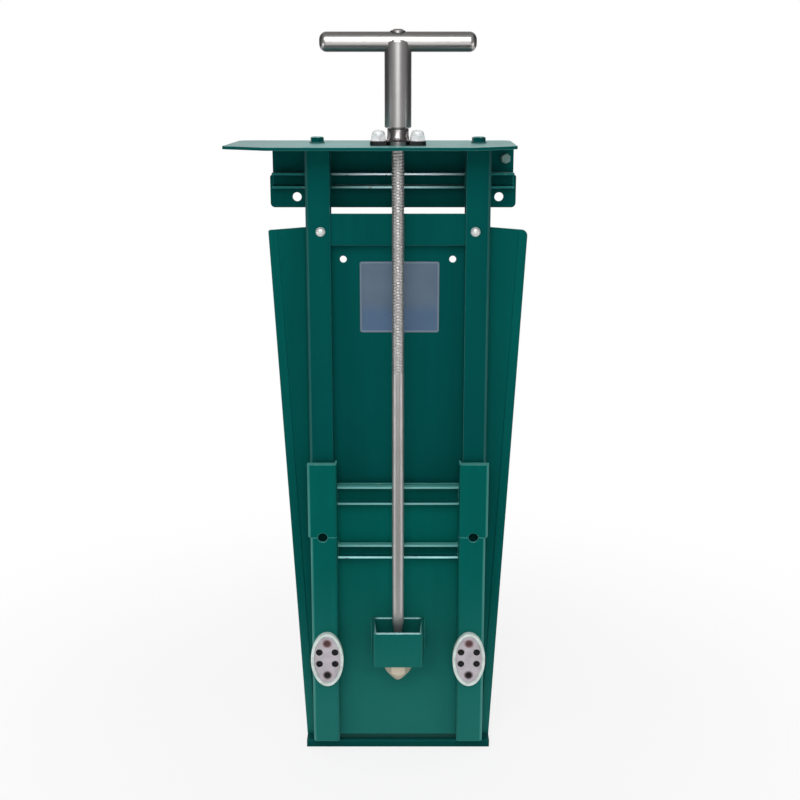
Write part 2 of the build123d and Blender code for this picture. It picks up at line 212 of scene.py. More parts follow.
# %% Helpers: groups and materials
def new_group(name, kind, inputs, outputs):
    """A node group with named sockets: its tree, its inputs' values and its output node."""
    tree = bpy.data.node_groups.new(name, kind)
    for label, socket_type, value in inputs:
        socket = tree.interface.new_socket(label, in_out="INPUT", socket_type=socket_type)
        if value is not None:
            socket.default_value = value
    for label, socket_type in outputs:
        tree.interface.new_socket(label, in_out="OUTPUT", socket_type=socket_type)
    sockets = tree.nodes.new("NodeGroupInput").outputs
    start = {label: Value(sockets[label]) for label, _, _ in inputs}
    return tree, start, tree.nodes.new("NodeGroupOutput")


def empty_tree(owner):
    """The node tree of a material or a world, emptied."""
    owner.use_nodes = True
    owner.node_tree.nodes.clear()
    return owner.node_tree


def new_material(name):
    """A material with nothing but a Principled shader on its output."""
    material = bpy.data.materials.new(name)
    tree = empty_tree(material)
    shader = add(tree, "ShaderNodeBsdfPrincipled")
    add(tree, "ShaderNodeOutputMaterial", {"Surface": Value(shader.outputs[0])})
    return material, tree, shader


def wire_finish(shader, colour, rough, height, strength, depth):
    """Puts a colour, a roughness and a small bump on the shader."""
    inputs = {"Height": height, "Strength": strength, "Distance": depth}
    bump = made(shader.id_data, "ShaderNodeBump", inputs)
    feed(shader, {"Base Color": colour, "Roughness": rough, "Normal": bump})


def node_of(material, kind):
    """The first node of a kind in the material."""
    return next(node for node in material.node_tree.nodes if node.type == kind)


def fed_by(shader, label):
    """What feeds one of the shader's inputs."""
    return Value(shader.inputs[label].links[0].from_socket)


print("materials start from a Principled shader alone")

# %% [markdown]
# ## The studio
#
# The gate was photographed against plain white. Here a pale floor takes the shadow and fades
# into a white surround, which reflections see too. A broad lamp high in front gives the light,
# two low strips brush the folded edges near the foot, and grey cards stand where only
# reflections see them, as a photographer places them round polished metal: without them a
# stainless pipe mirrors white on every side and loses its shape.

# %% The studio: the surround
AMBIENT = 0.5
WHITE = (1, 1, 1, 1)


def backdrop_rays(tree):
    """1 for the rays that show the plain backdrop: looks, reflections and glass."""
    path = add(tree, "ShaderNodeLightPath").outputs
    seen = calc("MAXIMUM", Value(path["Is Camera Ray"]), Value(path["Is Glossy Ray"]))
    return calc("MAXIMUM", seen, Value(path["Is Transmission Ray"]))


def make_surround():
    world = bpy.data.worlds.new("white_surround")
    bpy.context.scene.world = world
    tree = empty_tree(world)
    strength = backdrop_rays(tree) * (1 - AMBIENT) + AMBIENT
    glow = made(tree, "ShaderNodeBackground", {"Color": WHITE, "Strength": strength})
    add(tree, "ShaderNodeOutputWorld", {"Surface": glow})


bpy.context.scene.view_settings.view_transform = "Standard"
make_surround()
print("surround lights at", AMBIENT, "of white")

# %% The studio: the floor
FLOOR_RADIUS = 6.0
FLOOR_NEAR = 0.25
FLOOR_FAR = 1.1
FLOOR_GLOW = 0.8
FLOOR_PALE = (0.9, 0.9, 0.9, 1)


def floor_material():
    """Pale and matt near the gate, fading to the white of the surround."""
    material = bpy.data.materials.new("floor_pale")
    tree = empty_tree(material)
    reach = length_of(object_place(tree))
    inputs = {"Value": reach, "From Min": FLOOR_NEAR, "From Max": FLOOR_FAR, "To Min": FLOOR_GLOW}
    fade = made(tree, "ShaderNodeMapRange", inputs, interpolation_type="SMOOTHSTEP")
    matt = made(tree, "ShaderNodeBsdfDiffuse", {"Color": FLOOR_PALE})
    white = made(tree, "ShaderNodeEmission", {"Color": WHITE, "Strength": 1.0})
    mix = {0: fade * backdrop_rays(tree), 1: matt, 2: white}
    surface = made(tree, "ShaderNodeMixShader", mix)
    add(tree, "ShaderNodeOutputMaterial", {"Surface": surface})
    return material


def make_floor():
    mesh = bpy.data.meshes.new("studio_floor")
    shape = bmesh.new()
    bmesh.ops.create_circle(shape, cap_ends=True, segments=96, radius=FLOOR_RADIUS)
    shape.to_mesh(mesh)
    shape.free()
    mesh.materials.append(floor_material())
    new_object("studio_floor", mesh)


make_floor()
print("floor fades from", FLOOR_NEAR, "to", FLOOR_FAR, "m")

# %% The studio: lamps
LAMPS = {
    "key_softbox": ((-0.2, -1.95, 2.0), (0, 0, 0.6), (1.6, 1.3), 27),
    "left_strip": ((-1.3, -0.8, 0.26), (0, 0, 0.3), (0.22, 0.5), 2.4),
    "right_strip": ((1.3, -0.8, 0.26), (0, 0, 0.3), (0.22, 0.5), 2.4),
}


def place_lamp(name, place, target, size, watts):
    """A rectangular softbox that faces its target."""
    light = bpy.data.lights.new(name, "AREA")
    light.shape = "RECTANGLE"
    light.size, light.size_y = size
    light.energy = watts
    lamp = new_object(name, light)
    lamp.location = place
    aim = Vector(target) - Vector(place)
    lamp.rotation_euler = aim.to_track_quat("-Z", "Y").to_euler()


for lamp_name, settings in LAMPS.items():
    place_lamp(lamp_name, *settings)
print("lamps:", ", ".join(LAMPS))

# %% The studio: where the cards stand
CARD_SIDE = 1.6
CARD_FRONT = -1.7
CARD_BACK = 3.0
CARD_TOP = 2.7
GAP_SIDE = 0.6
GAP_FRONT = -2.6
WALL = ((CARD_SIDE, CARD_FRONT), (CARD_SIDE, CARD_BACK))
WING = ((GAP_SIDE, GAP_FRONT), (CARD_SIDE, CARD_FRONT))
UNDER = (-1.5, -0.42, 2 * MM)
GREYS = (0.3, 0.05)


def upright(ends, side):
    """The corners of a card that stands between two places, on one side of the gate."""
    (x1, y1), (x2, y2) = ends
    foot = [(side * x1, y1, 0), (side * x2, y2, 0)]
    return foot + [(side * x2, y2, CARD_TOP), (side * x1, y1, CARD_TOP)]


def flat(front, back, height):
    """The corners of a card that lies flat, over or under the gate."""
    near = [(-CARD_SIDE, front, height), (CARD_SIDE, front, height)]
    return near + [(CARD_SIDE, back, height), (-CARD_SIDE, back, height)]


CARDS = {
    "left_card": (GREYS, upright(WALL, -1)),
    "right_card": (GREYS, upright(WALL, 1)),
    "left_front_card": (GREYS, upright(WING, -1)),
    "right_front_card": (GREYS, upright(WING, 1)),
    "ceiling_card": ((0.2, 0.2), flat(CARD_FRONT, CARD_BACK, CARD_TOP)),
    "floor_card": ((0.05, 0.05), flat(*UNDER)),
}
print("cards:", len(CARDS))

# %% The studio: making the cards
FADE_END = 0.2


def make_card(name, greys, corners):
    """A card that only reflections see, with its greys at the front and the back."""
    mesh = bpy.data.meshes.new(name)
    mesh.from_pydata(corners, [], [(0, 1, 2, 3)])
    material = bpy.data.materials.new(name)
    tree = empty_tree(material)
    along = axes_of(object_place(tree))[BACK]
    inputs = {"Value": along, "From Min": GAP_FRONT, "From Max": FADE_END}
    inputs.update({"To Min": greys[0], "To Max": greys[1]})
    fade = made(tree, "ShaderNodeMapRange", inputs)
    glow = made(tree, "ShaderNodeEmission", {"Color": WHITE, "Strength": fade})
    add(tree, "ShaderNodeOutputMaterial", {"Surface": glow})
    mesh.materials.append(material)
    card = new_object(name, mesh)
    for ray in ("camera", "diffuse", "transmission", "volume_scatter", "shadow"):
        setattr(card, "visible_" + ray, False)


for card_name, settings in CARDS.items():
    make_card(card_name, *settings)
print("the cards fade over", round(FADE_END - GAP_FRONT, 1), "m")

# %% [markdown]
# ## Green enamel
#
# The sheet steel is sprayed with gloss enamel. Close up, such paint has a fine orange peel,
# faint upright streaks where it ran and dried, and slow changes of tone. Near the foot the paint
# is made paler, which is painted light. Faces that look up turn pale, partly dust and partly
# painted light from above, and the outward bends get a painted highlight. One could paint these
# into images, but procedural noise on Object coordinates keeps its scale on every sheet. The
# marks are shared by several paints, so they are a node group that puts out a colour, a
# roughness and a height.

# %% Enamel: tone, ledges and bends
# Below this height the paint turns darker.
DARK_FOOT_LINE = 19 * MM
STREAK_SCALE = (70, 70, 2.5)
SLOW_SCALE = 9.0
SOFT_SCALE = 60.0
PEEL_SCALE = 420.0


def upright_streaks(place):
    """Soft vertical streaks from noise that is stretched along Z."""
    inputs = {"Vector": place, "Scale": STREAK_SCALE}
    return noise(made(place.tree, "ShaderNodeMapping", inputs), 1.0, 3.0)


def shaded_paint(start, place, slow, darker_foot):
    """The paint's colour: uneven, with painted shade towards the back of a channel, and darker at
    the foot.
    """
    # Painted shade: the paint darkens towards the back of a channel, where shade falls.
    painted_shade = band(axes_of(place)[BACK], start["Hollow Front"], start["Hollow Back"])
    tone = (slow * 0.24 + 0.88) * (upright_streaks(place) * 0.3 + 0.85)
    # The paint is also made darker right at the foot.
    tone = tone * (1.0 - painted_shade * start["Hollow Depth"]) * (darker_foot * -0.4 + 1.0)
    return vector_calc("SCALE", {0: start["Paint"], "Scale": tone})


def ledge_dust_and_light(start, across, facing_up, slow):
    """A mask for faces that look up, strongest near the spindle: dust, and painted light from
    above.
    """
    near = band(abs(across), start["Dust Reach"], 0.0, smooth=False)
    return band(facing_up, 0.55, 0.95) * near * (slow * 0.7 + 0.45)


def bend_highlights(start, across, facing_side, slow):
    """A mask for a painted highlight on the folded corners that face outwards."""
    outward = calc("SIGN", across) * facing_side
    corner = band(outward, 0.12, 0.55) * band(outward, 0.99, 0.93)
    return corner * (slow * 1.2 + 0.2) * start["Bend Rub"]


print("damp below", round(DARK_FOOT_LINE / MM), "mm")

# %% Enamel: the shared group
ENAMEL_INPUTS = [
    ("Paint", "NodeSocketColor", (0.002, 0.08, 0.07, 1)),
    # A paler colour painted near the foot: painted light.
    ("Film", "NodeSocketColor", (0.015, 0.138, 0.118, 1)),
    ("Film Height", "NodeSocketFloat", 0.3),
    # The colour for dust on ledges, and for painted light on up-facing faces and outward bends.
    ("Dust", "NodeSocketColor", (0.3, 0.6, 0.58, 1)),
    ("Dust Reach", "NodeSocketFloat", 1.0),
    # Painted shade that darkens the paint towards the back of a channel.
    ("Hollow Front", "NodeSocketFloat", 1.0),
    ("Hollow Back", "NodeSocketFloat", 1.1),
    ("Hollow Depth", "NodeSocketFloat", 0.5),
    ("Gloss", "NodeSocketFloat", 0.3),
    # How strong the painted highlight on outward bends is.
    ("Bend Rub", "NodeSocketFloat", 0.0),
]
MARK_OUTPUTS = [
    ("Color", "NodeSocketColor"), ("Roughness", "NodeSocketFloat"), ("Height", "NodeSocketFloat")
]


def make_enamel_group():
    tree, start, end = new_group("enamel_marks", "ShaderNodeTree", ENAMEL_INPUTS, MARK_OUTPUTS)
    place = object_place(tree)
    across, _, height = axes_of(place)
    facing_side, _, facing_up = axes_of(object_place(tree, "Normal"))
    slow = noise(place, SLOW_SCALE, 4.0)
    # A mask that is 1 right at the foot, where the paint turns darker.
    darker_foot = band(height, DARK_FOOT_LINE, DARK_FOOT_LINE / 3)
    # Painted light: the paint turns paler towards the foot, though not right at it.
    foot_light = band(slow * 0.1 + height, start["Film Height"], 0.05) * (darker_foot * -0.9 + 0.9)
    foot_lit_colour = blended(foot_light, shaded_paint(start, place, slow, darker_foot), start["Film"])
    # Dust and painted light on faces that look up, and a painted highlight on outward bends.
    ledges = ledge_dust_and_light(start, across, facing_up, slow)
    dust_and_light = calc("MAXIMUM", ledges, bend_highlights(start, across, facing_side, slow))
    peel = noise(place, PEEL_SCALE, 2.0)
    soft = noise(place, SOFT_SCALE, 2.0)
    rough = soft * 0.14 + start["Gloss"] + foot_light * 0.12 + dust_and_light * 0.1
    dust_and_light_colour = blended(dust_and_light, foot_lit_colour, start["Dust"])
    feed(end, {"Color": dust_and_light_colour, "Roughness": rough, "Height": soft * 1.6 + peel})
    return tree


enamel_group = make_enamel_group()
print("enamel group:", len(enamel_group.nodes), "nodes")

# %% [markdown]
# The frame and the leaf were painted separately: the leaf is a shade lighter. Where the sheets
# were cut, the enamel rubs through first, so each paint has an edge version that noise breaks up
# between enamel blended paler, which is a painted highlight on the edge, and bare steel.

# %% Enamel: two kinds of paint
REFLECTED_GREEN = (0.02, 0.62, 0.57, 1)
BARE_STEEL = (0.3, 0.36, 0.36, 1)
RUB_SCALE = 160.0
PEEL_BUMP = (0.25, 0.05 * MM)


def enamel(name, colour, film_height, **inputs):
    """Gloss enamel on sheet steel; the group's other inputs are given by name."""
    material, tree, shader = new_material(name)
    values = {"Paint": colour, "Film Height": film_height}
    values.update({key.replace("_", " "): value for key, value in inputs.items()})
    marks = add(tree, "ShaderNodeGroup", values, node_tree=enamel_group)
    wire_finish(shader, *values_of(marks), *PEEL_BUMP)
    feed(shader, {"Specular IOR Level": 0.4, "Specular Tint": REFLECTED_GREEN})
    return material


def worn_enamel(name, colour, film_height, bare, highlight_share=0.35, reach=1.0, shine=0.0, **inputs):
    """The same enamel on a cut edge: a painted highlight, strongest near the spindle, and worn
    through to bare steel here and there.
    """
    material = enamel(name, colour, film_height, **inputs)
    shader = node_of(material, "BSDF_PRINCIPLED")
    pale = tuple(node_of(material, "GROUP").inputs["Dust"].default_value)
    place = object_place(material.node_tree)
    near = band(abs(axes_of(place)[ACROSS]), reach, 0.0, smooth=False)
    rubbed = band(near * bare + noise(place, RUB_SCALE, 5.0), 0.6, 0.72)
    # Painted highlight: the edge is blended towards a pale colour, most near the spindle.
    highlighted_colour = blended(calc("MINIMUM", near * highlight_share, 1.0), fed_by(shader, "Base Color"), pale)
    bright = calc("MAXIMUM", near * near * shine, rubbed * 0.8)
    rough = bright * -0.15 + fed_by(shader, "Roughness")
    colour = blended(rubbed, highlighted_colour, BARE_STEEL)
    feed(shader, {"Base Color": colour, "Metallic": bright, "Roughness": rough})
    return material


print("enamel, plain or worn")

# %% Enamel: the paints
FRAME_GREEN = (0.0008, 0.061, 0.057, 1)
WING_GREEN = (0.001, 0.075, 0.067, 1)
LEAF_GREEN = (0.001, 0.094, 0.08, 1)
# Dust, painted light and painted highlights on the leaf take this colour.
LEAF_DUST_AND_HIGHLIGHT = (0.13, 0.46, 0.42, 1)
# A dull green for the dust and painted light on the sill's and the ribs' up-facing faces.
DULL_LEDGE_GREEN = (0.004, 0.085, 0.08, 1)
# How high the painted light near the foot reaches on the frame and on the leaf.
FRAME_FOOT_LIGHT = 0.3
LEAF_FOOT_LIGHT = 0.38
frame_paint = enamel("frame_enamel", FRAME_GREEN, FRAME_FOOT_LIGHT)
frame_edge = worn_enamel("frame_enamel_edge", FRAME_GREEN, FRAME_FOOT_LIGHT, -0.04, highlight_share=0.15)
sill_paint = enamel("sill_enamel", FRAME_GREEN, FRAME_FOOT_LIGHT, Dust=DULL_LEDGE_GREEN)
wing_paint = enamel("wing_enamel", WING_GREEN, FRAME_FOOT_LIGHT)
guide_paint = enamel("guide_enamel", FRAME_GREEN, FRAME_FOOT_LIGHT, Bend_Rub=0.07)
leaf_paint = enamel("leaf_enamel", LEAF_GREEN, LEAF_FOOT_LIGHT, Dust=LEAF_DUST_AND_HIGHLIGHT, Bend_Rub=0.36)
leaf_edge = worn_enamel("leaf_enamel_edge", LEAF_GREEN, LEAF_FOOT_LIGHT, 0.0, Dust=LEAF_DUST_AND_HIGHLIGHT)
print("paints:", frame_paint.name, leaf_paint.name)

# %% [markdown]
# Inside the channels, painted shade darkens the paint towards the back. Their lips carry a
# painted highlight that is strongest beside the spindle, where the paint is pale and shines
# almost like metal. The bracket's inner faces are painted paler, as silt and as painted light
# that lifts their shade, and its rim carries a painted highlight.

# %% Enamel: the channels and the bracket
# Painted highlights: the channel's lips get a lighter green and, like the ribs' lips, blend
# towards pale colours near the spindle.
LIT_LIP_GREEN = (0.02, 0.17, 0.16, 1)
LIP_HIGHLIGHT = (0.8, 0.93, 1.0, 1)
LOW_LIP_HIGHLIGHT = (0.55, 0.9, 0.92, 1)
RIB_HIGHLIGHT = (0.22, 0.5, 0.49, 1)
LOW_RIB_HIGHLIGHT = (0.38, 0.76, 0.76, 1)
# Painted highlight for the top of the bracket's walls.
RIM_HIGHLIGHT = (0.5, 0.82, 0.83, 1)
# A paler paint for the bracket's inner faces: silt, and painted light that lifts their shade.
SILT_AND_LIGHT_GREEN = (0.02, 0.38, 0.4, 1)
# Dust and painted light on the channel's up-facing faces near the spindle.
PALE_DUST_AND_LIGHT = (0.36, 0.52, 0.5, 1)
# Painted shade towards the back of the beam's channel and of the ribs.
BEAM_PAINTED_SHADE = {"Hollow_Front": 20 * MM, "Hollow_Back": 30 * MM, "Hollow_Depth": 0.3}
RIB_PAINTED_SHADE = {"Hollow_Front": -29 * MM, "Hollow_Back": -20 * MM, "Hollow_Depth": 0.35}
LIP_REACH = 0.12
RIM_REACH = 33 * MM
channel_paint = enamel(
    "channel_enamel", FRAME_GREEN, FRAME_FOOT_LIGHT, Dust=PALE_DUST_AND_LIGHT, Dust_Reach=LIP_REACH, **BEAM_PAINTED_SHADE
)
upper_lip = worn_enamel(
    "upper_lip", LIT_LIP_GREEN, FRAME_FOOT_LIGHT, 0.0, highlight_share=1.7, reach=0.105, shine=1.1,
    Dust=LIP_HIGHLIGHT, Dust_Reach=LIP_REACH,
)
lower_lip = worn_enamel(
    "lower_lip", LIT_LIP_GREEN, FRAME_FOOT_LIGHT, 0.0, highlight_share=1.3, reach=0.095, shine=0.5,
    Dust=LOW_LIP_HIGHLIGHT, Dust_Reach=LIP_REACH,
)
rib_paint = enamel("rib_enamel", LEAF_GREEN, LEAF_FOOT_LIGHT, Dust=DULL_LEDGE_GREEN, **RIB_PAINTED_SHADE)
rib_lip = worn_enamel("rib_lip", LEAF_GREEN, LEAF_FOOT_LIGHT, 0.0, highlight_share=1.0, reach=0.16, Dust=RIB_HIGHLIGHT)
low_rib_lip = worn_enamel(
    "low_rib_lip", LEAF_GREEN, LEAF_FOOT_LIGHT, 0.0, highlight_share=1.6, reach=0.16, Dust=LOW_RIB_HIGHLIGHT
)
bracket_paint = enamel("bracket_enamel", LEAF_GREEN, LEAF_FOOT_LIGHT)
bracket_silt = enamel("bracket_silt", SILT_AND_LIGHT_GREEN, LEAF_FOOT_LIGHT)
bracket_rim = worn_enamel(
    "bracket_rim", LEAF_GREEN, LEAF_FOOT_LIGHT, 0.0, highlight_share=6.0, reach=RIM_REACH,
    Dust=RIM_HIGHLIGHT, Dust_Reach=RIM_REACH,
)
print("channel paints:", channel_paint.name, rib_paint.name)

# %% [markdown]
# ## Bright metal, black iron, rubber and the casting
#
# The handle is stainless pipe, the spindle drawn bar. Both have fine scratches that run round
# or along the metal, which spread a reflection sideways. A stretched noise makes that grain,
# and it feeds roughness, tone and a very small bump. It is a group, because the bar, the
# spindle, the nameplate and the bolts each want their own direction and strength.

# %% Metals: the grain group
CLOUD_SCALE = 28.0
GRAIN_INPUTS = [
    ("Metal", "NodeSocketColor", (0.6, 0.59, 0.57, 1)),
    ("Stretch", "NodeSocketVector", (400, 400, 20)),
    ("Rough", "NodeSocketFloat", 0.25),
    ("Stain", "NodeSocketFloat", 0.2),
    # How much painted shade darkens the faces that look down.
    ("Shade Below", "NodeSocketFloat", 0.0),
]


def make_grain_group():
    tree, start, end = new_group("metal_grain", "ShaderNodeTree", GRAIN_INPUTS, MARK_OUTPUTS)
    place = object_place(tree)
    facing_up = axes_of(object_place(tree, "Normal"))[UP]
    grain = noise(vector_calc("MULTIPLY", {0: place, 1: start["Stretch"]}), 1.0, 4.0)
    dull = noise(place, CLOUD_SCALE, 5.0) * start["Stain"]
    # Painted shade: faces that look down are darkened.
    below = band(facing_up, -0.3, -0.9) * start["Shade Below"]
    tone = (grain * 0.1 + 1.0 - dull) * (1.0 - below)
    colour = vector_calc("SCALE", {0: start["Metal"], "Scale": tone})
    rough = grain * 0.08 + start["Rough"] + dull * 0.5
    feed(end, {"Color": colour, "Roughness": rough, "Height": grain})
    return tree


grain_group = make_grain_group()
print("grain group:", len(grain_group.nodes), "nodes")

# %% Metals: the finishes
GRAIN_DEPTH = 0.03 * MM
AROUND = (60, 60, 1500)
ALONG_X = (18, 900, 900)
EVEN = (300, 300, 300)


def metal(name, colour, stretch, rough, stain, scratch=0.25, metallic=1.0, shade_below=0.0):
    """A metal finish with its grain along the short axis of the stretch."""
    material, tree, shader = new_material(name)
    values = {"Metal": colour, "Stretch": stretch, "Rough": rough, "Stain": stain}
    values["Shade Below"] = shade_below
    marks = add(tree, "ShaderNodeGroup", values, node_tree=grain_group)
    wire_finish(shader, *values_of(marks), scratch, GRAIN_DEPTH)
    feed(shader, {"Metallic": metallic})
    return material


pipe_steel = metal("pipe_stainless", (0.6, 0.58, 0.58, 1), AROUND, 0.27, 0.1, 0.03)
# The bar's underside is darkened with painted shade.
bar_steel = metal("bar_stainless", (0.64, 0.62, 0.61, 1), ALONG_X, 0.27, 0.08, 0.08, shade_below=0.85)
spindle_steel = metal("spindle_steel", (0.61, 0.59, 0.58, 1), AROUND, 0.31, 0.25, 0.1, 0.9)
nut_steel = metal("nut_steel", (0.34, 0.32, 0.32, 1), AROUND, 0.2, 0.15)
passivate = metal("foot_nut_passivate", (0.66, 0.59, 0.46, 1), EVEN, 0.36, 0.3, metallic=0.35)
# Painted highlight: these two zinc finishes are near-white and partly diffuse, painting in the
# glare that shiny bolt heads catch.
bolt_zinc = metal("bolt_zinc", (0.97, 0.98, 0.99, 1), EVEN, 0.3, 0.04, metallic=0.15)
tie_bolt_zinc = metal("tie_bolt_zinc", (0.8, 0.83, 0.81, 1), EVEN, 0.36, 0.15, metallic=0.5)
dull_zinc = metal("dull_zinc", (0.24, 0.4, 0.37, 1), EVEN, 0.45, 0.2, metallic=0.5)
plate_metal = metal("plate_aluminium", (0.17, 0.23, 0.3, 1), ALONG_X, 0.45, 0.2, metallic=0.4)
nut_iron = metal("nut_iron", (0.006, 0.007, 0.008, 1), EVEN, 0.5, 0.2, 0.5, 0.2)
weld_steel = metal("weld_steel", (0.17, 0.19, 0.18, 1), EVEN, 0.4, 0.3, 0.4)
print("metals:", grain_group.users)

# %% [markdown]
# Rubber is dark and dull, and a pale bloom comes up through it in patches. The pads are rough
# castings whose stains gather in patches too, and rust has bled round their dimples. These two
# finishes are noise again, but without a grain, so they need no group.

# %% Rubber and the pale casting
BLOOM_SCALE = 45.0
BLOOM_BUMP = (0.2, 0.1 * MM)
STAIN_SCALE = 90.0
SAND_SCALE = 900.0
SAND_BUMP = (0.45, 0.12 * MM)


def rubber(name, clean, bloomed):
    """Dark rubber, or the near-black painted shade that lines the pads' holes, blooming paler in
    patches.
    """
    material, tree, shader = new_material(name)
    bloom = noise(object_place(tree), BLOOM_SCALE, 4.0)
    colours = blended(bloom, clean, bloomed)
    wire_finish(shader, colours, bloom * 0.2 + 0.6, bloom, *BLOOM_BUMP)
    feed(shader, {"Specular IOR Level": 0.15})
    return material


def casting(name, colour, stain):
    """A matt casting with fine pits and a stain that gathers in patches."""
    material, tree, shader = new_material(name)
    place = object_place(tree)
    stained = band(noise(place, STAIN_SCALE, 6.0), 0.42, 0.68, smooth=False)
    sand = noise(place, SAND_SCALE, 3.0)
    colours = blended(stained, colour, stain)
    wire_finish(shader, colours, sand * 0.25 + 0.42, sand, *SAND_BUMP)
    return material


seal_black = rubber("seal_rubber", (0.003, 0.04, 0.036, 1), (0.006, 0.065, 0.058, 1))
# Painted shade: a near-black lining for the pads' holes, where shade falls.
hole_shade = rubber("hole_grime", (0.006, 0.006, 0.006, 1), (0.02, 0.02, 0.018, 1))
pad_rim_metal = casting("pad_rim_casting", (0.67, 0.77, 0.73, 1), (0.5, 0.57, 0.54, 1))
pad_face_metal = casting("pad_face_casting", (0.5, 0.46, 0.5, 1), (0.4, 0.37, 0.39, 1))
pad_rust = casting("pad_rust", (0.09, 0.035, 0.035, 1), (0.05, 0.02, 0.02, 1))
print("rubber and casting:", seal_black.name, pad_rim_metal.name)

# %% Rust round the pads' dimples
MARK_RISE = 24 * MM
MARK_REACH = 8 * MM
RUST_RED = (0.16, 0.055, 0.065, 1)
MARK_DARK = (0.035, 0.012, 0.018, 1)


def span(node, axis):
    """Where a node's box begins and ends along one axis."""
    low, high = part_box(node)
    return low[axis], high[axis]


PAD_X = sum(span("right_oval_pad", ACROSS)) / 2
PAD_Z = sum(span("right_oval_pad", UP)) / 2


def bled_marks(material):
    """Rust that has bled round the dimples, red above and nearly black below."""
    shader = node_of(material, "BSDF_PRINCIPLED")
    colour = fed_by(shader, "Base Color")
    across, _, height = axes_of(object_place(material.node_tree))
    aside = abs(across) - PAD_X
    for side, tint in ((1, RUST_RED), (-1, MARK_DARK)):
        reach = length_of(vector_of(aside, height - (PAD_Z + side * MARK_RISE)))
        colour = blended(band(reach, MARK_REACH, MARK_REACH / 2), colour, tint)
    feed(shader, {"Base Color": colour})


bled_marks(pad_face_metal)
print("materials so far:", len(bpy.data.materials))

# %% [markdown]
# ## Sheets with real edges
#
# Cut and folded sheet never ends in a knife edge. The imported meshes are exact but sharp, so each
# sheet is dressed: its mesh is copied, the loose triangles are merged and flat areas joined into
# single faces, and a Bevel modifier rounds the cut edges. The modifier also gives the new narrow
# faces their own material slot, which is how the edge finish, worn and with a painted highlight,
# gets onto the edges and nowhere else. Harden Normals keeps the wide faces flat right up to the
# rounding.

# %% Sheets: clean copies and applied modifiers
def merged_copy(node):
    """The node's mesh as one clean shell, its flat areas joined."""
    shape = bmesh.new()
    shape.from_mesh(nodes[node].data)
    bmesh.ops.remove_doubles(shape, verts=shape.verts, dist=0.005 * MM)
    bmesh.ops.dissolve_limit(
        shape, angle_limit=math.radians(0.5), verts=shape.verts, edges=shape.edges
    )
    mesh = bpy.data.meshes.new(node)
    shape.to_mesh(mesh)
    shape.free()
    return mesh


def link(name, mesh, *materials):
    """A new object for a mesh, with its materials in order."""
    piece = new_object(name, mesh)
    mesh.materials.clear()
    for material in materials:
        mesh.materials.append(material)
    return piece


def applied(piece):
    """The piece's mesh, once its modifiers are turned into plain mesh."""
    view = bpy.context.evaluated_depsgraph_get()
    mesh = bpy.data.meshes.new_from_object(piece.evaluated_get(view), depsgraph=view)
    piece.modifiers.clear()
    piece.data = mesh
    return mesh


def finish_piece(piece, body, slot, *replaced):
    """Attaches a piece to the body that carries it and hides the nodes it stands for; slot is not
    used.
    """
    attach(piece, body)
    if replaced:
        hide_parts(*replaced)
    return piece


print("sheets to dress from", len(nodes), "nodes")

# %% Sheets: the dressing helper
SHARP = math.radians(30)


def round_edges(piece, radius, steps=2, material=-1):
    """A real bevel on the sharp edges, applied at once."""
    piece.data.shade_smooth()
    piece.data.set_sharp_from_angle(angle=SHARP)
    bevel = piece.modifiers.new("edge_round", "BEVEL")
    bevel.width = radius
    bevel.segments = steps
    bevel.limit_method = "ANGLE"
    bevel.angle_limit = SHARP
    bevel.harden_normals = True
    bevel.material = material
    applied(piece)


def dressed(node, body, slot, face, edge=None, radius=0.6 * MM, steps=2):
    """A CAD node's own shape with rounded edges and real finishes."""
    materials = [face, edge] if edge else [face]
    piece = link(node + "_dressed", merged_copy(node), *materials)
    round_edges(piece, radius, steps, 1 if edge else -1)
    return finish_piece(piece, body, slot, node)


print("edges sharper than", round(math.degrees(SHARP)), "degrees are rounded")

# %% Sheets: the frame
FRAME_SHEETS = ("breast_panel", "cross_plate", "top_beam", "deck_plate")
for node in FRAME_SHEETS:
    dressed(node, "frame", "green_paint", frame_paint, frame_edge)
for node in ("left_guide", "right_guide"):
    dressed(node, "frame", "green_paint", guide_paint, frame_edge)
for node in ("left_wing", "right_wing"):
    dressed(node, "frame", "green_paint", wing_paint)
dressed("sill", "frame", "green_paint", sill_paint)
print("frame sheets dressed:", len(FRAME_SHEETS) + 5)

# %% Sheets: the leaf
LEAF_SHEETS = (
    "leaf_plate", "left_stile_upper", "right_stile_upper",
    "left_stile_lower", "right_stile_lower",
)
for node in LEAF_SHEETS:
    dressed(node, "leaf", "green_paint", leaf_paint, leaf_edge)
print("leaf sheets dressed:", len(LEAF_SHEETS))

# %% [markdown]
# The bracket that holds the spindle's foot is an open box. Its inner walls and floor take a paler
# paint, silt that water leaves and painted light that lifts their shade, and the faces that look
# up along the top of its walls take a painted highlight. Both are finishes of whole faces, so each
# face is given its material by where it lies and which way it looks, before the edges are
# rounded.

# %% Sheets: the bracket
BRACKET_WALL = 4 * MM
PLAIN, RIM, SILT = 0, 1, 2


def bracket_finish(face, low, high):
    """Which finish a face of the bracket takes."""
    across, along, up = face.normal
    side_wall = across * face.center.x < -0.1 * MM
    front_wall = along > 0.5 and face.center.y < low[BACK] + 2 * BRACKET_WALL
    floor = up > 0.5 and face.center.z < high[UP] - BRACKET_WALL
    if side_wall or front_wall or floor:
        return SILT
    return RIM if up > 0.5 else PLAIN


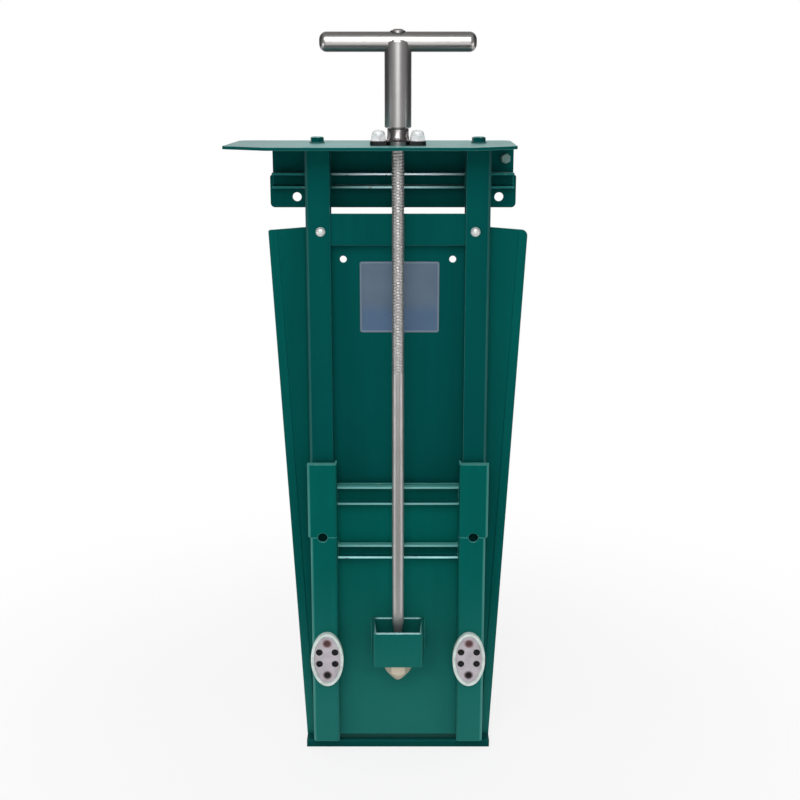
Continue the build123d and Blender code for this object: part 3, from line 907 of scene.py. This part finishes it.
def dressed_bracket(node="spindle_bracket"):
    """The bracket, with paler paint on its inner faces, silt and painted light, and a painted
    highlight on its rim.
    """
    materials = (bracket_paint, bracket_rim, bracket_silt)
    piece = link("bracket_dressed", merged_copy(node), *materials)
    low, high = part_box(node)
    for face in piece.data.polygons:
        face.material_index = bracket_finish(face, low, high)
    round_edges(piece, 0.6 * MM, 2, RIM)
    for face in piece.data.polygons:
        if face.material_index == RIM and face.normal.z < 0.3:
            face.material_index = PLAIN
    return finish_piece(piece, "leaf", "green_paint", node)


print("bracket faces:", len(dressed_bracket().data.polygons))

# %% [markdown]
# The beam's channel and the leaf's ribs are folded channels that lie open to the front. Their
# lips stick out and carry a painted highlight, strongest around the spindle. The lip's cut
# face gets the edge finish too, not only its rounded corners: it is found by its place, at the
# channel's front.

# %% Sheets: the channels
LIP, LEDGE, LOW_LIP = 1, 2, 3
TOUCH = 0.01 * MM


def dressed_channel(node, body, face_paint, ledge_paint, lip, low_lip):
    """A dressed channel: a plain paint on its top and an edge finish with a painted highlight on
    each front edge.
    """
    (_, front, foot), (_, _, top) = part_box(node)
    piece = link(node + "_dressed", merged_copy(node), face_paint, lip, ledge_paint, low_lip)
    for face in piece.data.polygons:
        corners = [piece.data.vertices[i].co for i in face.vertices]
        if all(corner.y < front + TOUCH for corner in corners):
            face.material_index = LIP
        elif all(corner.z > top - TOUCH for corner in corners):
            face.material_index = LEDGE
    round_edges(piece, 0.7 * MM, 2, LIP)
    for face in piece.data.polygons:
        if face.material_index == LIP and face.center.z < (foot + top) / 2:
            face.material_index = LOW_LIP
    return finish_piece(piece, body, "green_paint", node)


dressed_channel("beam_channel", "frame", channel_paint, frame_paint, upper_lip, lower_lip)
dressed_channel("top_rib", "leaf", rib_paint, leaf_paint, rib_lip, rib_lip)
dressed_channel("lower_rib", "leaf", rib_paint, leaf_paint, rib_lip, low_rib_lip)
print("channels dressed")

# %% [markdown]
# ## Geometry Nodes: a small kit
#
# Bolts, welds and the screw thread all follow rules, so Geometry Nodes make them. Every tree
# gets named inputs, realizes its instances and sets its material. The object that carries the
# modifier starts with only points or a path, and the result is turned into a plain mesh.

# %% Geometry Nodes: building a tree
TURN = ("Turn", "NodeSocketVector", (0, 0, 0))


def floats(*names):
    """Inputs for a tree, each a plain number."""
    return [(name, "NodeSocketFloat", 0.0) for name in names]


def growing_tree(name, inputs):
    """A geometry tree whose first input and only output are geometry."""
    sockets = [("Geometry", "NodeSocketGeometry", None)] + inputs
    sockets.append(("Material", "NodeSocketMaterial", None))
    return new_group(name, "GeometryNodeTree", sockets, [("Geometry", "NodeSocketGeometry")])


def close_tree(start, end, geometry):
    """Realizes what the tree made, paints it and puts it out."""
    tree = geometry.tree
    real = made(tree, "GeometryNodeRealizeInstances", {0: geometry})
    inputs = {"Geometry": real, "Material": start["Material"]}
    feed(end, {0: made(tree, "GeometryNodeSetMaterial", inputs)})
    return tree


def on_points(start, shape):
    """The shape at each seed point, turned as the tree's input says."""
    inputs = {"Points": start["Geometry"], "Instance": shape, "Rotation": start["Turn"]}
    return made(shape.tree, "GeometryNodeInstanceOnPoints", inputs)


print("every tree ends in Realize Instances and Set Material")

# %% Geometry Nodes: seeds and growing
def grown(name, tree, seed, **values):
    """A plain mesh piece that the tree grows from a seed mesh."""
    piece = new_object(name, seed)
    modifier = piece.modifiers.new(name, "NODES")
    modifier.node_group = tree
    for item in tree.interface.items_tree:
        key = item.name.replace(" ", "_")
        if item.in_out == "INPUT" and key in values:
            modifier[item.identifier] = values[key]
    mesh = applied(piece)
    mesh.shade_smooth()
    mesh.set_sharp_from_angle(angle=SHARP)
    return piece


def points_mesh(name, points):
    """A mesh of loose points."""
    mesh = bpy.data.meshes.new(name)
    mesh.from_pydata(points, [], [])
    return mesh


def paths_mesh(name, paths):
    """A mesh of open or closed paths, each a list of points and whether it closes."""
    points, edges = [], []
    for path, closed in paths:
        first = len(points)
        points += path
        edges += [(first + i, first + i + 1) for i in range(len(path) - 1)]
        if closed:
            edges.append((len(points) - 1, first))
    mesh = bpy.data.meshes.new(name)
    mesh.from_pydata(points, edges, [])
    return mesh


print("seeds: loose points or paths")

# %% [markdown]
# ## Bolts
#
# A hexagon head is forged and then turned, so its top edge is a cone that leaves curved
# shoulders on the six flats. A bevel can't make those. A rule can: start from a plain drum,
# push each side point out to the hexagon, and lower its top by how far it stands outside the
# turned circle. Under it goes a washer and on it, for domed nuts, a crown.

# %% Bolts: points by angle and radius
def polar(tree):
    """The angle, the distance from the axis and the height of each point."""
    x, y, z = axes_of(made(tree, "GeometryNodeInputPosition"))
    return calc("ARCTAN2", y, x), length_of(vector_of(x, y)), z


def at_polar(geometry, angle, radius, height):
    """Moves the points to an angle, a radius and a height."""
    place = vector_of(radius * calc("COSINE", angle), radius * calc("SINE", angle), height)
    inputs = {"Geometry": geometry, "Position": place}
    return made(geometry.tree, "GeometryNodeSetPosition", inputs)


def hexagon_reach(angle, half):
    """How far a hexagon's side lies from the axis, in the direction of an angle."""
    sixth = calc("WRAP", angle, math.radians(30), math.radians(-30))
    return half / calc("COSINE", sixth)


def moved(geometry, x=0.0, y=0.0, z=0.0):
    """The geometry, moved."""
    inputs = {"Geometry": geometry, "Translation": vector_of(x, y, z)}
    return made(geometry.tree, "GeometryNodeTransform", inputs)


def drum(tree, sides, rows, rings=0):
    """A plain cylinder, one unit high, with rows up its side and rings inside its ends."""
    inputs = {"Vertices": sides, "Side Segments": rows, "Depth": 1.0}
    if rings:
        inputs["Fill Segments"] = rings
    fill = "TRIANGLE_FAN" if rings else "NGON"
    return made(tree, "GeometryNodeMeshCylinder", inputs, fill_type=fill)


print("heads are shaped by angle, radius and height")

# %% Bolts: hexagon, washer and crown
TURNED_SHARE = 0.87
TURNED_SLOPE = math.tan(math.radians(30))
WASHER_EDGE = 0.3 * MM
DRUM_SIDES = 48


def hexagon_head(tree, start):
    """The forged and turned hexagon, from a drum with one ring inside its ends."""
    angle, reach, level = polar(tree)
    half = start["Flats"] * 0.5
    turned = half * TURNED_SHARE
    side = hexagon_reach(angle, half)
    outside = calc("GREATER_THAN", reach, 0.75)
    inner = reach * 2.0 * turned
    radius = inner + outside * (side - inner)
    drop = outside * (side - turned) * TURNED_SLOPE
    height = (start["Head"] - drop) * calc("GREATER_THAN", level, 0.0)
    return at_polar(drum(tree, DRUM_SIDES, 1, 2), angle, radius, height)


def washer(tree, start):
    """A flat washer with its edges broken."""
    angle, _, level = polar(tree)
    end = calc("GREATER_THAN", abs(level), 0.4)
    radius = start["Washer Radius"] - end * WASHER_EDGE
    half = start["Washer Height"] * 0.5
    rise = calc("SIGN", level) * (half + (end * WASHER_EDGE - WASHER_EDGE))
    return at_polar(drum(tree, DRUM_SIDES, 3), angle, radius, half + rise)


def crown(tree, start):
    """A domed cap: the upper half of a ball, squashed to its height."""
    inputs = {"Segments": DRUM_SIDES, "Rings": 20, "Radius": 1.0}
    ball = made(tree, "GeometryNodeMeshUVSphere", inputs)
    angle, reach, level = polar(tree)
    upper = calc("POWER", calc("MAXIMUM", level, 0.0), 0.7)
    return at_polar(ball, angle, reach * start["Crown Radius"], upper * start["Crown Height"])


print("a drum has", DRUM_SIDES, "sides")

# %% Bolts: one tree for every head
BOLT_INPUTS = floats(
    "Flats", "Head", "Washer Radius", "Washer Height", "Crown Radius", "Crown Height"
)


def kept_if(size, geometry):
    """The geometry, or nothing where its size is zero."""
    tree = size.tree
    wanted = made(tree, "FunctionNodeCompare", {0: size, 1: 0.0}, operation="GREATER_THAN")
    return made(tree, "GeometryNodeSwitch", {"Switch": wanted, "True": geometry})


def make_bolt_tree():
    tree, start, end = growing_tree("bolt_heads", BOLT_INPUTS + [TURN])
    seat = start["Washer Height"]
    head_top = seat + start["Head"]
    parts = [
        kept_if(seat, washer(tree, start)),
        kept_if(start["Flats"], moved(hexagon_head(tree, start), z=seat)),
        kept_if(start["Crown Height"], moved(crown(tree, start), z=head_top)),
    ]
    join = add(tree, "GeometryNodeJoinGeometry")
    for part in parts:
        feed(join, {0: part})
    return close_tree(start, end, on_points(start, Value(join.outputs[0])))


bolt_tree = make_bolt_tree()
print("bolt tree:", len(bolt_tree.nodes), "nodes")

# %% Bolts: the sets on the frame
FORWARD = math.radians(90)
DECK_BOLT = {
    "Flats": 15.8 * MM, "Head": 6.6 * MM, "Washer_Radius": 10 * MM, "Washer_Height": 1.4 * MM,
    "Turn": (0, 0, math.radians(12)),
}
NUT_BOLT = {
    "Flats": 17 * MM, "Head": 6.5 * MM, "Washer_Radius": 10 * MM, "Washer_Height": 1.5 * MM,
    "Crown_Radius": 8.2 * MM, "Crown_Height": 6 * MM, "Turn": (0, 0, math.radians(8)),
}
CROSS_BOLT = {
    "Washer_Radius": 6.25 * MM, "Washer_Height": 0.9 * MM,
    "Crown_Radius": 5.9 * MM, "Crown_Height": 5.1 * MM, "Turn": (FORWARD, 0, 0),
}
BEAM_BOLT = {
    "Flats": 12 * MM, "Head": 4.7 * MM, "Washer_Radius": 6.8 * MM, "Washer_Height": 0.8 * MM,
    "Turn": (FORWARD, 0, math.radians(4)),
}


def bolt_set(name, slot, material, bolts, axis, height, sizes):
    """One piece for the bolts named, their heads seated under the CAD heads' tops."""
    places = []
    for node in bolts:
        place = [sum(span(node, i)) / 2 for i in (ACROSS, BACK, UP)]
        low, high = span(node, axis)
        place[axis] = high - height if axis == UP else low + height
        places.append(place)
    piece = grown(name, bolt_tree, points_mesh(name, places), Material=material, **sizes)
    return finish_piece(piece, "frame", slot, *bolts)


bolt_set(
    "deck_bolts", "green_paint", frame_paint, ("left_deck_bolt", "right_deck_bolt"),
    UP, height=8 * MM, sizes=DECK_BOLT,
)
bolt_set(
    "nut_bolts", "stainless", bolt_zinc, ("left_nut_bolt", "right_nut_bolt"),
    UP, height=14 * MM, sizes=NUT_BOLT,
)
bolt_set(
    "cross_bolts", "stainless", tie_bolt_zinc, ("left_cross_bolt", "right_cross_bolt"),
    BACK, height=6 * MM, sizes=CROSS_BOLT,
)
bolt_set(
    "beam_bolt_head", "stainless", dull_zinc, ("beam_bolt",),
    BACK, height=5.5 * MM, sizes=BEAM_BOLT,
)
print("bolt sets placed")

# %% [markdown]
# ## The spindle and its thread
#
# The spindle is drawn bar with a trapezoidal screw thread rolled on the stretch that passes
# through the nut, four millimetres from crest to crest. The thread is one rule: a point's
# radius depends on its height minus its share of a turn. So a plain cylinder is stretched so
# that its rings lie densest on the thread, and each point is moved in or out by that rule.

# %% The spindle: its rings and its thread
RING_MARKS = (
    ("Bottom", 0.0), ("Neck Top", 0.01), ("Neck End", 0.02), ("Thread Start", 0.04),
    ("Thread End", 0.96), ("Tip Start", 0.98), ("Top", 1.0),
)


def stretched_level(start, share):
    """The height of a ring: few rings on the plain ends, most on the thread."""
    level = start["Bottom"]
    for (low, first), (high, last) in zip(RING_MARKS, RING_MARKS[1:]):
        level = level + band(share, first, last, smooth=False) * (start[high] - start[low])
    return level


def thread_cut(start, angle, level):
    """How deep the thread cuts at a point: nothing on the crest, full depth at the root."""
    phase = calc("FRACT", level / start["Pitch"] - angle / (2 * math.pi))
    groove = band(abs(phase * 2.0 - 1.0), 0.38, 0.66)
    inside = calc("MINIMUM", level - start["Thread Start"], start["Thread End"] - level)
    runout = band(inside, 0.0, start["Pitch"])
    return start["Depth"] * runout * groove


print("stretches of the spindle:", len(RING_MARKS) - 1)

# %% The spindle: the tree
BAR_SIDES = 40
RING_COUNT = 700
SPINDLE_INPUTS = floats(
    "Radius", "Bottom", "Neck Radius", "Neck Top", "Neck End", "Thread Start",
    "Thread End", "Tip Start", "Top", "Tip Loss", "Pitch", "Depth", "Axis Y",
)


def make_spindle_tree():
    inputs = SPINDLE_INPUTS + [("Rings", "NodeSocketInt", RING_COUNT)]
    tree, start, end = growing_tree("screw_spindle", inputs)
    bar = drum(tree, BAR_SIDES, start["Rings"])
    angle, _, height = polar(tree)
    level = stretched_level(start, height + 0.5)
    widening = band(level, start["Neck Top"], start["Neck End"], smooth=False)
    body = widening * (start["Radius"] - start["Neck Radius"]) + start["Neck Radius"]
    tip = band(level, start["Tip Start"], start["Top"], smooth=False)
    body = body - calc("POWER", tip, 2.0) * start["Tip Loss"]
    turned = at_polar(bar, angle, body - thread_cut(start, angle, level), level)
    return close_tree(start, end, moved(turned, y=start["Axis Y"]))


spindle_tree = make_spindle_tree()
print("spindle tree:", len(spindle_tree.nodes), "nodes")

# %% The spindle: cut to its sizes
THREAD_TOP = 871 * MM
TRAVEL = frame["record"]["behaviour"]["joints"][0]["range_m"][1]
(rod_left, rod_front, rod_bottom), (rod_right, rod_back, rod_top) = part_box("spindle_rod")
ROD_Y = (rod_front + rod_back) / 2
NECK_TOP = span("spindle_bracket", UP)[1] - 6 * MM
SPINDLE = {
    "Radius": (rod_right - rod_left) / 2, "Bottom": rod_bottom, "Top": rod_top, "Axis_Y": ROD_Y,
    "Neck_Radius": 6 * MM, "Neck_Top": NECK_TOP, "Neck_End": NECK_TOP + 12 * MM,
    "Thread_Start": THREAD_TOP - TRAVEL - 22 * MM, "Thread_End": THREAD_TOP,
    "Tip_Start": rod_top - 3 * MM, "Tip_Loss": 3.2 * MM,
    "Pitch": 4 * MM, "Depth": 0.5 * MM, "Rings": RING_COUNT,
}
seed = points_mesh("screw_spindle", [(0, ROD_Y, 0)])
spindle = grown("screw_spindle", spindle_tree, seed, Material=spindle_steel, **SPINDLE)
finish_piece(spindle, "spindle", "stainless", "spindle_rod")
print("spindle faces:", len(spindle.data.polygons))

# %% [markdown]
# ## Nut, keeper, collar and foot nut
#
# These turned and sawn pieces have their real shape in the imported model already. They get
# rounded edges and their own finishes: a turned steel nut, a blackened keeper plate, and under
# the bracket a nut that was dipped in yellow passivate and has darkened in patches.

# %% Nut, keeper, collar and foot nut
dressed("spindle_nut", "frame", "stainless", nut_steel, radius=0.5 * MM)
dressed("nut_keeper", "frame", "black_iron", nut_iron, radius=0.5 * MM)
dressed("thrust_collar", "spindle", "stainless", spindle_steel, radius=0.6 * MM)
dressed("foot_nut", "spindle", "stainless", passivate, radius=0.5 * MM)
print("nut pieces dressed")

# %% [markdown]
# ## The T handle
#
# A length of stainless pipe is coped to fit under a round bar, and both are pinned on the
# spindle's end and welded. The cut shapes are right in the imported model. What makes them look
# made by hand is the weld, which comes in the next step.

# %% The T handle
dressed("handle_tube", "spindle", "stainless", pipe_steel, radius=0.5 * MM)
dressed("handle_bar", "spindle", "stainless", bar_steel, radius=0.3 * MM, steps=1)
print("handle dressed")

# %% [markdown]
# ## Weld seams
#
# A hand-laid weld is a row of small overlapping puddles. Instancing a puddle along a path would
# work, but leaves hundreds of hidden ends. Here one tube follows the path, and its radius
# swells and narrows with the length along it, which gives the same ripple from fewer faces.

# %% Weld seams: the tree
STEPS_A_RIPPLE = 4.0
SEED_SHIFT = 7.0
LUMP_SCALE = 300.0
TUBE_SIDES = 8


def make_weld_tree():
    tree, start, end = growing_tree("weld_seam", floats("Radius", "Ripple", "Seed"))
    path = made(tree, "GeometryNodeMeshToCurve", {0: start["Geometry"]})
    inputs = {"Curve": path, "Length": start["Ripple"] / STEPS_A_RIPPLE}
    fine = made(tree, "GeometryNodeResampleCurve", inputs, mode="LENGTH")
    run = made(tree, "GeometryNodeSplineParameter", None, "Length")
    total = made(tree, "GeometryNodeSplineLength", None, "Length")
    swell = abs(calc("SINE", run / start["Ripple"] * math.pi))
    inputs = {"Vector": made(tree, "GeometryNodeInputPosition"), "Scale": LUMP_SCALE}
    inputs["W"] = start["Seed"] * SEED_SHIFT
    uneven = made(tree, "ShaderNodeTexNoise", inputs, "Fac", noise_dimensions="4D")
    from_end = calc("MINIMUM", run, total - run)
    taper = band(from_end / start["Radius"], -0.7, 1.5)
    scale = (swell * 0.3 + 0.8) * (uneven * 0.5 + 0.5) * taper
    inputs = {"Resolution": TUBE_SIDES, "Radius": start["Radius"]}
    ring = made(tree, "GeometryNodeCurvePrimitiveCircle", inputs)
    inputs = {"Curve": fine, "Profile Curve": ring, "Scale": scale, "Fill Caps": True}
    return close_tree(start, end, made(tree, "GeometryNodeCurveToMesh", inputs))


weld_tree = make_weld_tree()
print("weld tree:", len(weld_tree.nodes), "nodes")

# %% Weld seams: round the handle
bar_low, bar_high = span("handle_bar", UP)
BAR_RADIUS = (bar_high - bar_low) / 2
BAR_Z = (bar_high + bar_low) / 2
tube_left, tube_right = span("handle_tube", ACROSS)
SEAM_RADIUS = (tube_right - tube_left) / 2 - 2.4 * MM
TIP_RADIUS = 8.3 * MM


def saddle_path(radius, side, count=72):
    """A ring round the spindle's axis that rises and falls over the handle bar."""
    path = []
    for i in range(count):
        turn = 2 * math.pi * i / count
        y = radius * math.sin(turn)
        drop = math.sqrt(max(0.0, BAR_RADIUS**2 - y**2))
        path.append((radius * math.cos(turn), ROD_Y + y, BAR_Z + side * drop))
    return [(path, True)]


def seam_piece(name, body, slot, material, paths, radius, ripple, seed):
    """One weld piece for a body."""
    sizes = {"Radius": radius, "Ripple": ripple, "Seed": seed}
    piece = grown(name, weld_tree, paths_mesh(name, paths), Material=material, **sizes)
    print(name, "faces:", len(piece.data.polygons))
    return finish_piece(piece, body, slot)


seam_piece(
    "handle_weld", "spindle", "stainless", bar_steel, saddle_path(SEAM_RADIUS, -1),
    radius=2.8 * MM, ripple=7 * MM, seed=1.0,
)
seam_piece(
    "tip_weld", "spindle", "stainless", weld_steel, saddle_path(TIP_RADIUS, 1),
    radius=1.9 * MM, ripple=2.6 * MM, seed=1.0,
)

# %% Weld seams: where they run on the frame
RIPPLE = 2.4 * MM
STITCH = 26 * MM
STITCH_GAP = 92 * MM


def stitches(first, last):
    """Short weld runs between two points, with gaps."""
    first, last = Vector(first), Vector(last)
    whole = (last - first).length
    along = (last - first) / whole
    paths = []
    run = 0.0
    while run + STITCH <= whole:
        start = first + along * run
        paths.append(([tuple(start), tuple(start + along * STITCH)], False))
        run += STITCH + STITCH_GAP
    return paths


def frame_seams():
    """Behind the wings, at the guides' feet, and at the beam's channel."""
    hub, web = span("right_guide", ACROSS)
    rear = span("right_guide", BACK)[1]
    back = span("right_wing", BACK)[1]
    foot, head = span("sill", UP)[1], span("right_wing", UP)[1]
    low, high = span("beam_channel", UP)
    paths = []
    for side in (-1, 1):
        x = side * (web + 0.3 * MM)
        paths += stitches((x, back, foot + 20 * MM), (x, back, head - 20 * MM))
        ends = [(side * (hub + 3 * MM), rear, foot), (side * (web - 3 * MM), rear, foot)]
        paths.append((ends, False))
        for place in (hub, web):
            x = side * place
            paths.append(([(x, rear, low + 1 * MM), (x, rear, high - 1 * MM)], False))
    return paths


seam_piece(
    "frame_welds", "frame", "green_paint", frame_paint, frame_seams(),
    radius=1.7 * MM, ripple=RIPPLE, seed=2.0,
)

# %% Weld seams: where they run on the leaf
def leaf_seams():
    """Down both sides of the bracket, and at the ribs' ends."""
    paths = []
    (left, _, low), (right, back, high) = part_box("spindle_bracket")
    y = back - 0.4 * MM
    for x in (left, right):
        paths.append(([(x, y, low + 1 * MM), (x, y, high - 1 * MM)], False))
    for node in ("top_rib", "lower_rib"):
        (left, front, low), (right, back, high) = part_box(node)
        for x in (left + 0.5 * MM, right - 0.5 * MM):
            for z in (low, high):
                paths.append(([(x, front + 3 * MM, z), (x, back - 1 * MM, z)], False))
    return paths


seam_piece(
    "leaf_welds", "leaf", "green_paint", leaf_paint, leaf_seams(),
    radius=1.4 * MM, ripple=RIPPLE, seed=3.0,
)

# %% [markdown]
# ## Oval pads
#
# Each lower stile carries an oval casting with a raised rim, four holes and two dimples. The
# imported solid has its shape, so it is dressed, and each face is given a finish by where it
# lies: the rim is bright from handling, the floor of the recess is darker, and the holes are
# lined with near-black painted shade.

# %% Oval pads: finishes by place
RIM_WIDTH = 4.4 * MM
RECESS = 2.5 * MM
DIMPLE_REACH = 4.5 * MM
DIMPLE_RISE = 16 * MM
PAD_RIM, PAD_FLOOR, PAD_HOLE, PAD_RUST = 0, 1, 2, 3


def pad_finish(face, low, high):
    """Which of the pad's materials a face takes: rim, floor, painted shade in the holes, or
    stained dimple.
    """
    aside = face.center.x - (low[ACROSS] + high[ACROSS]) / 2
    above = face.center.z - (low[UP] + high[UP]) / 2
    depth = face.center.y - low[BACK]
    half_width = (high[ACROSS] - low[ACROSS]) / 2 - RIM_WIDTH
    half_height = (high[UP] - low[UP]) / 2 - RIM_WIDTH
    if (aside / half_width) ** 2 + (above / half_height) ** 2 > 1 or depth < 0.1 * MM:
        return PAD_RIM
    dimple = abs(aside) < DIMPLE_REACH and abs(above) > DIMPLE_RISE
    if dimple and depth > RECESS + 0.02 * MM and face.normal.y > -0.999:
        return PAD_RUST if above > 0 else PAD_HOLE
    wall = abs(face.normal.y) < 0.3 and depth > RECESS + 0.1 * MM
    return PAD_HOLE if wall else PAD_FLOOR


def dressed_pad(node):
    """A pad with its four finishes and rounded edges."""
    materials = (pad_rim_metal, pad_face_metal, hole_shade, pad_rust)
    piece = link(node + "_dressed", merged_copy(node), *materials)
    low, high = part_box(node)
    for face in piece.data.polygons:
        face.material_index = pad_finish(face, low, high)
    round_edges(piece, 0.9 * MM, 3)
    return finish_piece(piece, "leaf", "pale_casting", node)


PADS = ("left_oval_pad", "right_oval_pad")
for node in PADS:
    dressed_pad(node)
print("pads dressed:", len(PADS))

# %% [markdown]
# Behind the holes sit the blackened screws that hold the pad. They are one more set from a
# rule: a low drum with a broken edge, and a hexagonal socket that narrows to a point.

# %% Oval pads: the screws' tree
SCREW_SIDES = 24


def make_screw_tree():
    tree, start, end = growing_tree("socket_screws", floats("Radius", "Height", "Socket") + [TURN])
    angle, reach, level = polar(tree)
    side = hexagon_reach(angle, start["Socket"])
    rim = start["Radius"] * 0.9
    socket_ring = band(reach, 0.0, 0.33, smooth=False) * side
    face_ring = band(reach, 0.34, 0.66, smooth=False) * (rim - side)
    edge_ring = band(reach, 0.67, 1.0, smooth=False) * (start["Radius"] - rim)
    edge = calc("GREATER_THAN", reach, 0.9)
    middle = calc("LESS_THAN", reach, 0.1)
    top = calc("GREATER_THAN", level, 0.0)
    height = start["Height"] * top * (edge * -0.1 + 1.0 - middle * 0.6)
    radius = socket_ring + face_ring + edge_ring
    screw = at_polar(drum(tree, SCREW_SIDES, 1, 3), angle, radius, height)
    return close_tree(start, end, on_points(start, screw))


screw_tree = make_screw_tree()
print("screw tree:", len(screw_tree.nodes), "nodes")

# %% Oval pads: their screws
HOLE_PITCH_X = 22 * MM
HOLE_PITCH_Z = 17.5 * MM
PATTERN_RISE = 2 * MM
SCREW = {"Radius": 4.4 * MM, "Height": 3.4 * MM, "Socket": 2.1 * MM, "Turn": (FORWARD, 0, 0)}


def pad_hole_places():
    """The middles of the pads' holes, on the stiles' faces behind them."""
    places = []
    for node in PADS:
        middle = sum(span(node, ACROSS)) / 2
        height = sum(span(node, UP)) / 2 + PATTERN_RISE
        y = span(node, BACK)[1] - 0.2 * MM
        for x in (-HOLE_PITCH_X / 2, HOLE_PITCH_X / 2):
            for z in (-HOLE_PITCH_Z / 2, HOLE_PITCH_Z / 2):
                places.append((middle + x, y, height + z))
    return places


hole_places = pad_hole_places()
seed = points_mesh("pad_screws", hole_places)
screws = grown("pad_screws", screw_tree, seed, Material=nut_iron, **SCREW)
finish_piece(screws, "leaf", "black_iron")
print("pad screws:", len(hole_places))

# %% [markdown]
# ## The bare nameplate and the seal
#
# The nameplate stays blank: a rounded sheet with a paler border round a field that is sunk by
# a hair and anodised a cool grey, bluer towards its foot. An inset of the front face makes the
# border and the field in one step. The seal is a moulded rubber strip at the leaf's foot, with
# wider roundings than a sheet has.

# %% The nameplate's field
PLATE_GREY = (0.11, 0.165, 0.235, 1)
PLATE_BLUE = (0.078, 0.145, 0.25, 1)


def plate_field(name):
    """Anodised aluminium, grey above and bluer below."""
    material, tree, shader = new_material(name)
    values = {"Metal": WHITE, "Stretch": ALONG_X, "Rough": 0.42, "Stain": 0.3}
    marks = add(tree, "ShaderNodeGroup", values, node_tree=grain_group)
    grain, rough, height = values_of(marks)
    low, high = span("name_plate", UP)
    level = axes_of(object_place(tree))[UP]
    blue = band(level, low + 0.5 * (high - low), low + 0.22 * (high - low))
    colour = vector_calc("MULTIPLY", {0: blended(blue, PLATE_GREY, PLATE_BLUE), 1: grain})
    wire_finish(shader, colour, rough, height, 0.2, GRAIN_DEPTH)
    feed(shader, {"Metallic": 0.25})
    return material


field_metal = plate_field("plate_field")
print("nameplate field:", field_metal.name)

# %% The bare nameplate
BORDER = 2.4 * MM
FIELD_STEP = 0.3 * MM
FIELD_DEPTH = 0.35 * MM


def dressed_plate():
    """The blank plate with its border and its sunk field."""
    piece = link("name_plate_dressed", merged_copy("name_plate"), plate_metal, field_metal)
    shape = bmesh.new()
    shape.from_mesh(piece.data)
    front = min(shape.faces, key=lambda face: face.calc_center_median().y)
    bmesh.ops.inset_region(shape, faces=[front], thickness=BORDER)
    bmesh.ops.inset_region(shape, faces=[front], thickness=FIELD_STEP, depth=-FIELD_DEPTH)
    front.material_index = 1
    shape.to_mesh(piece.data)
    shape.free()
    round_edges(piece, 0.25 * MM)
    return finish_piece(piece, "frame", "name_plate_metal", "name_plate")


print("nameplate faces:", len(dressed_plate().data.polygons))

# %% The seal
dressed("bottom_seal", "leaf", "seal_rubber", seal_black, radius=1.4 * MM, steps=3)
print("seal dressed")
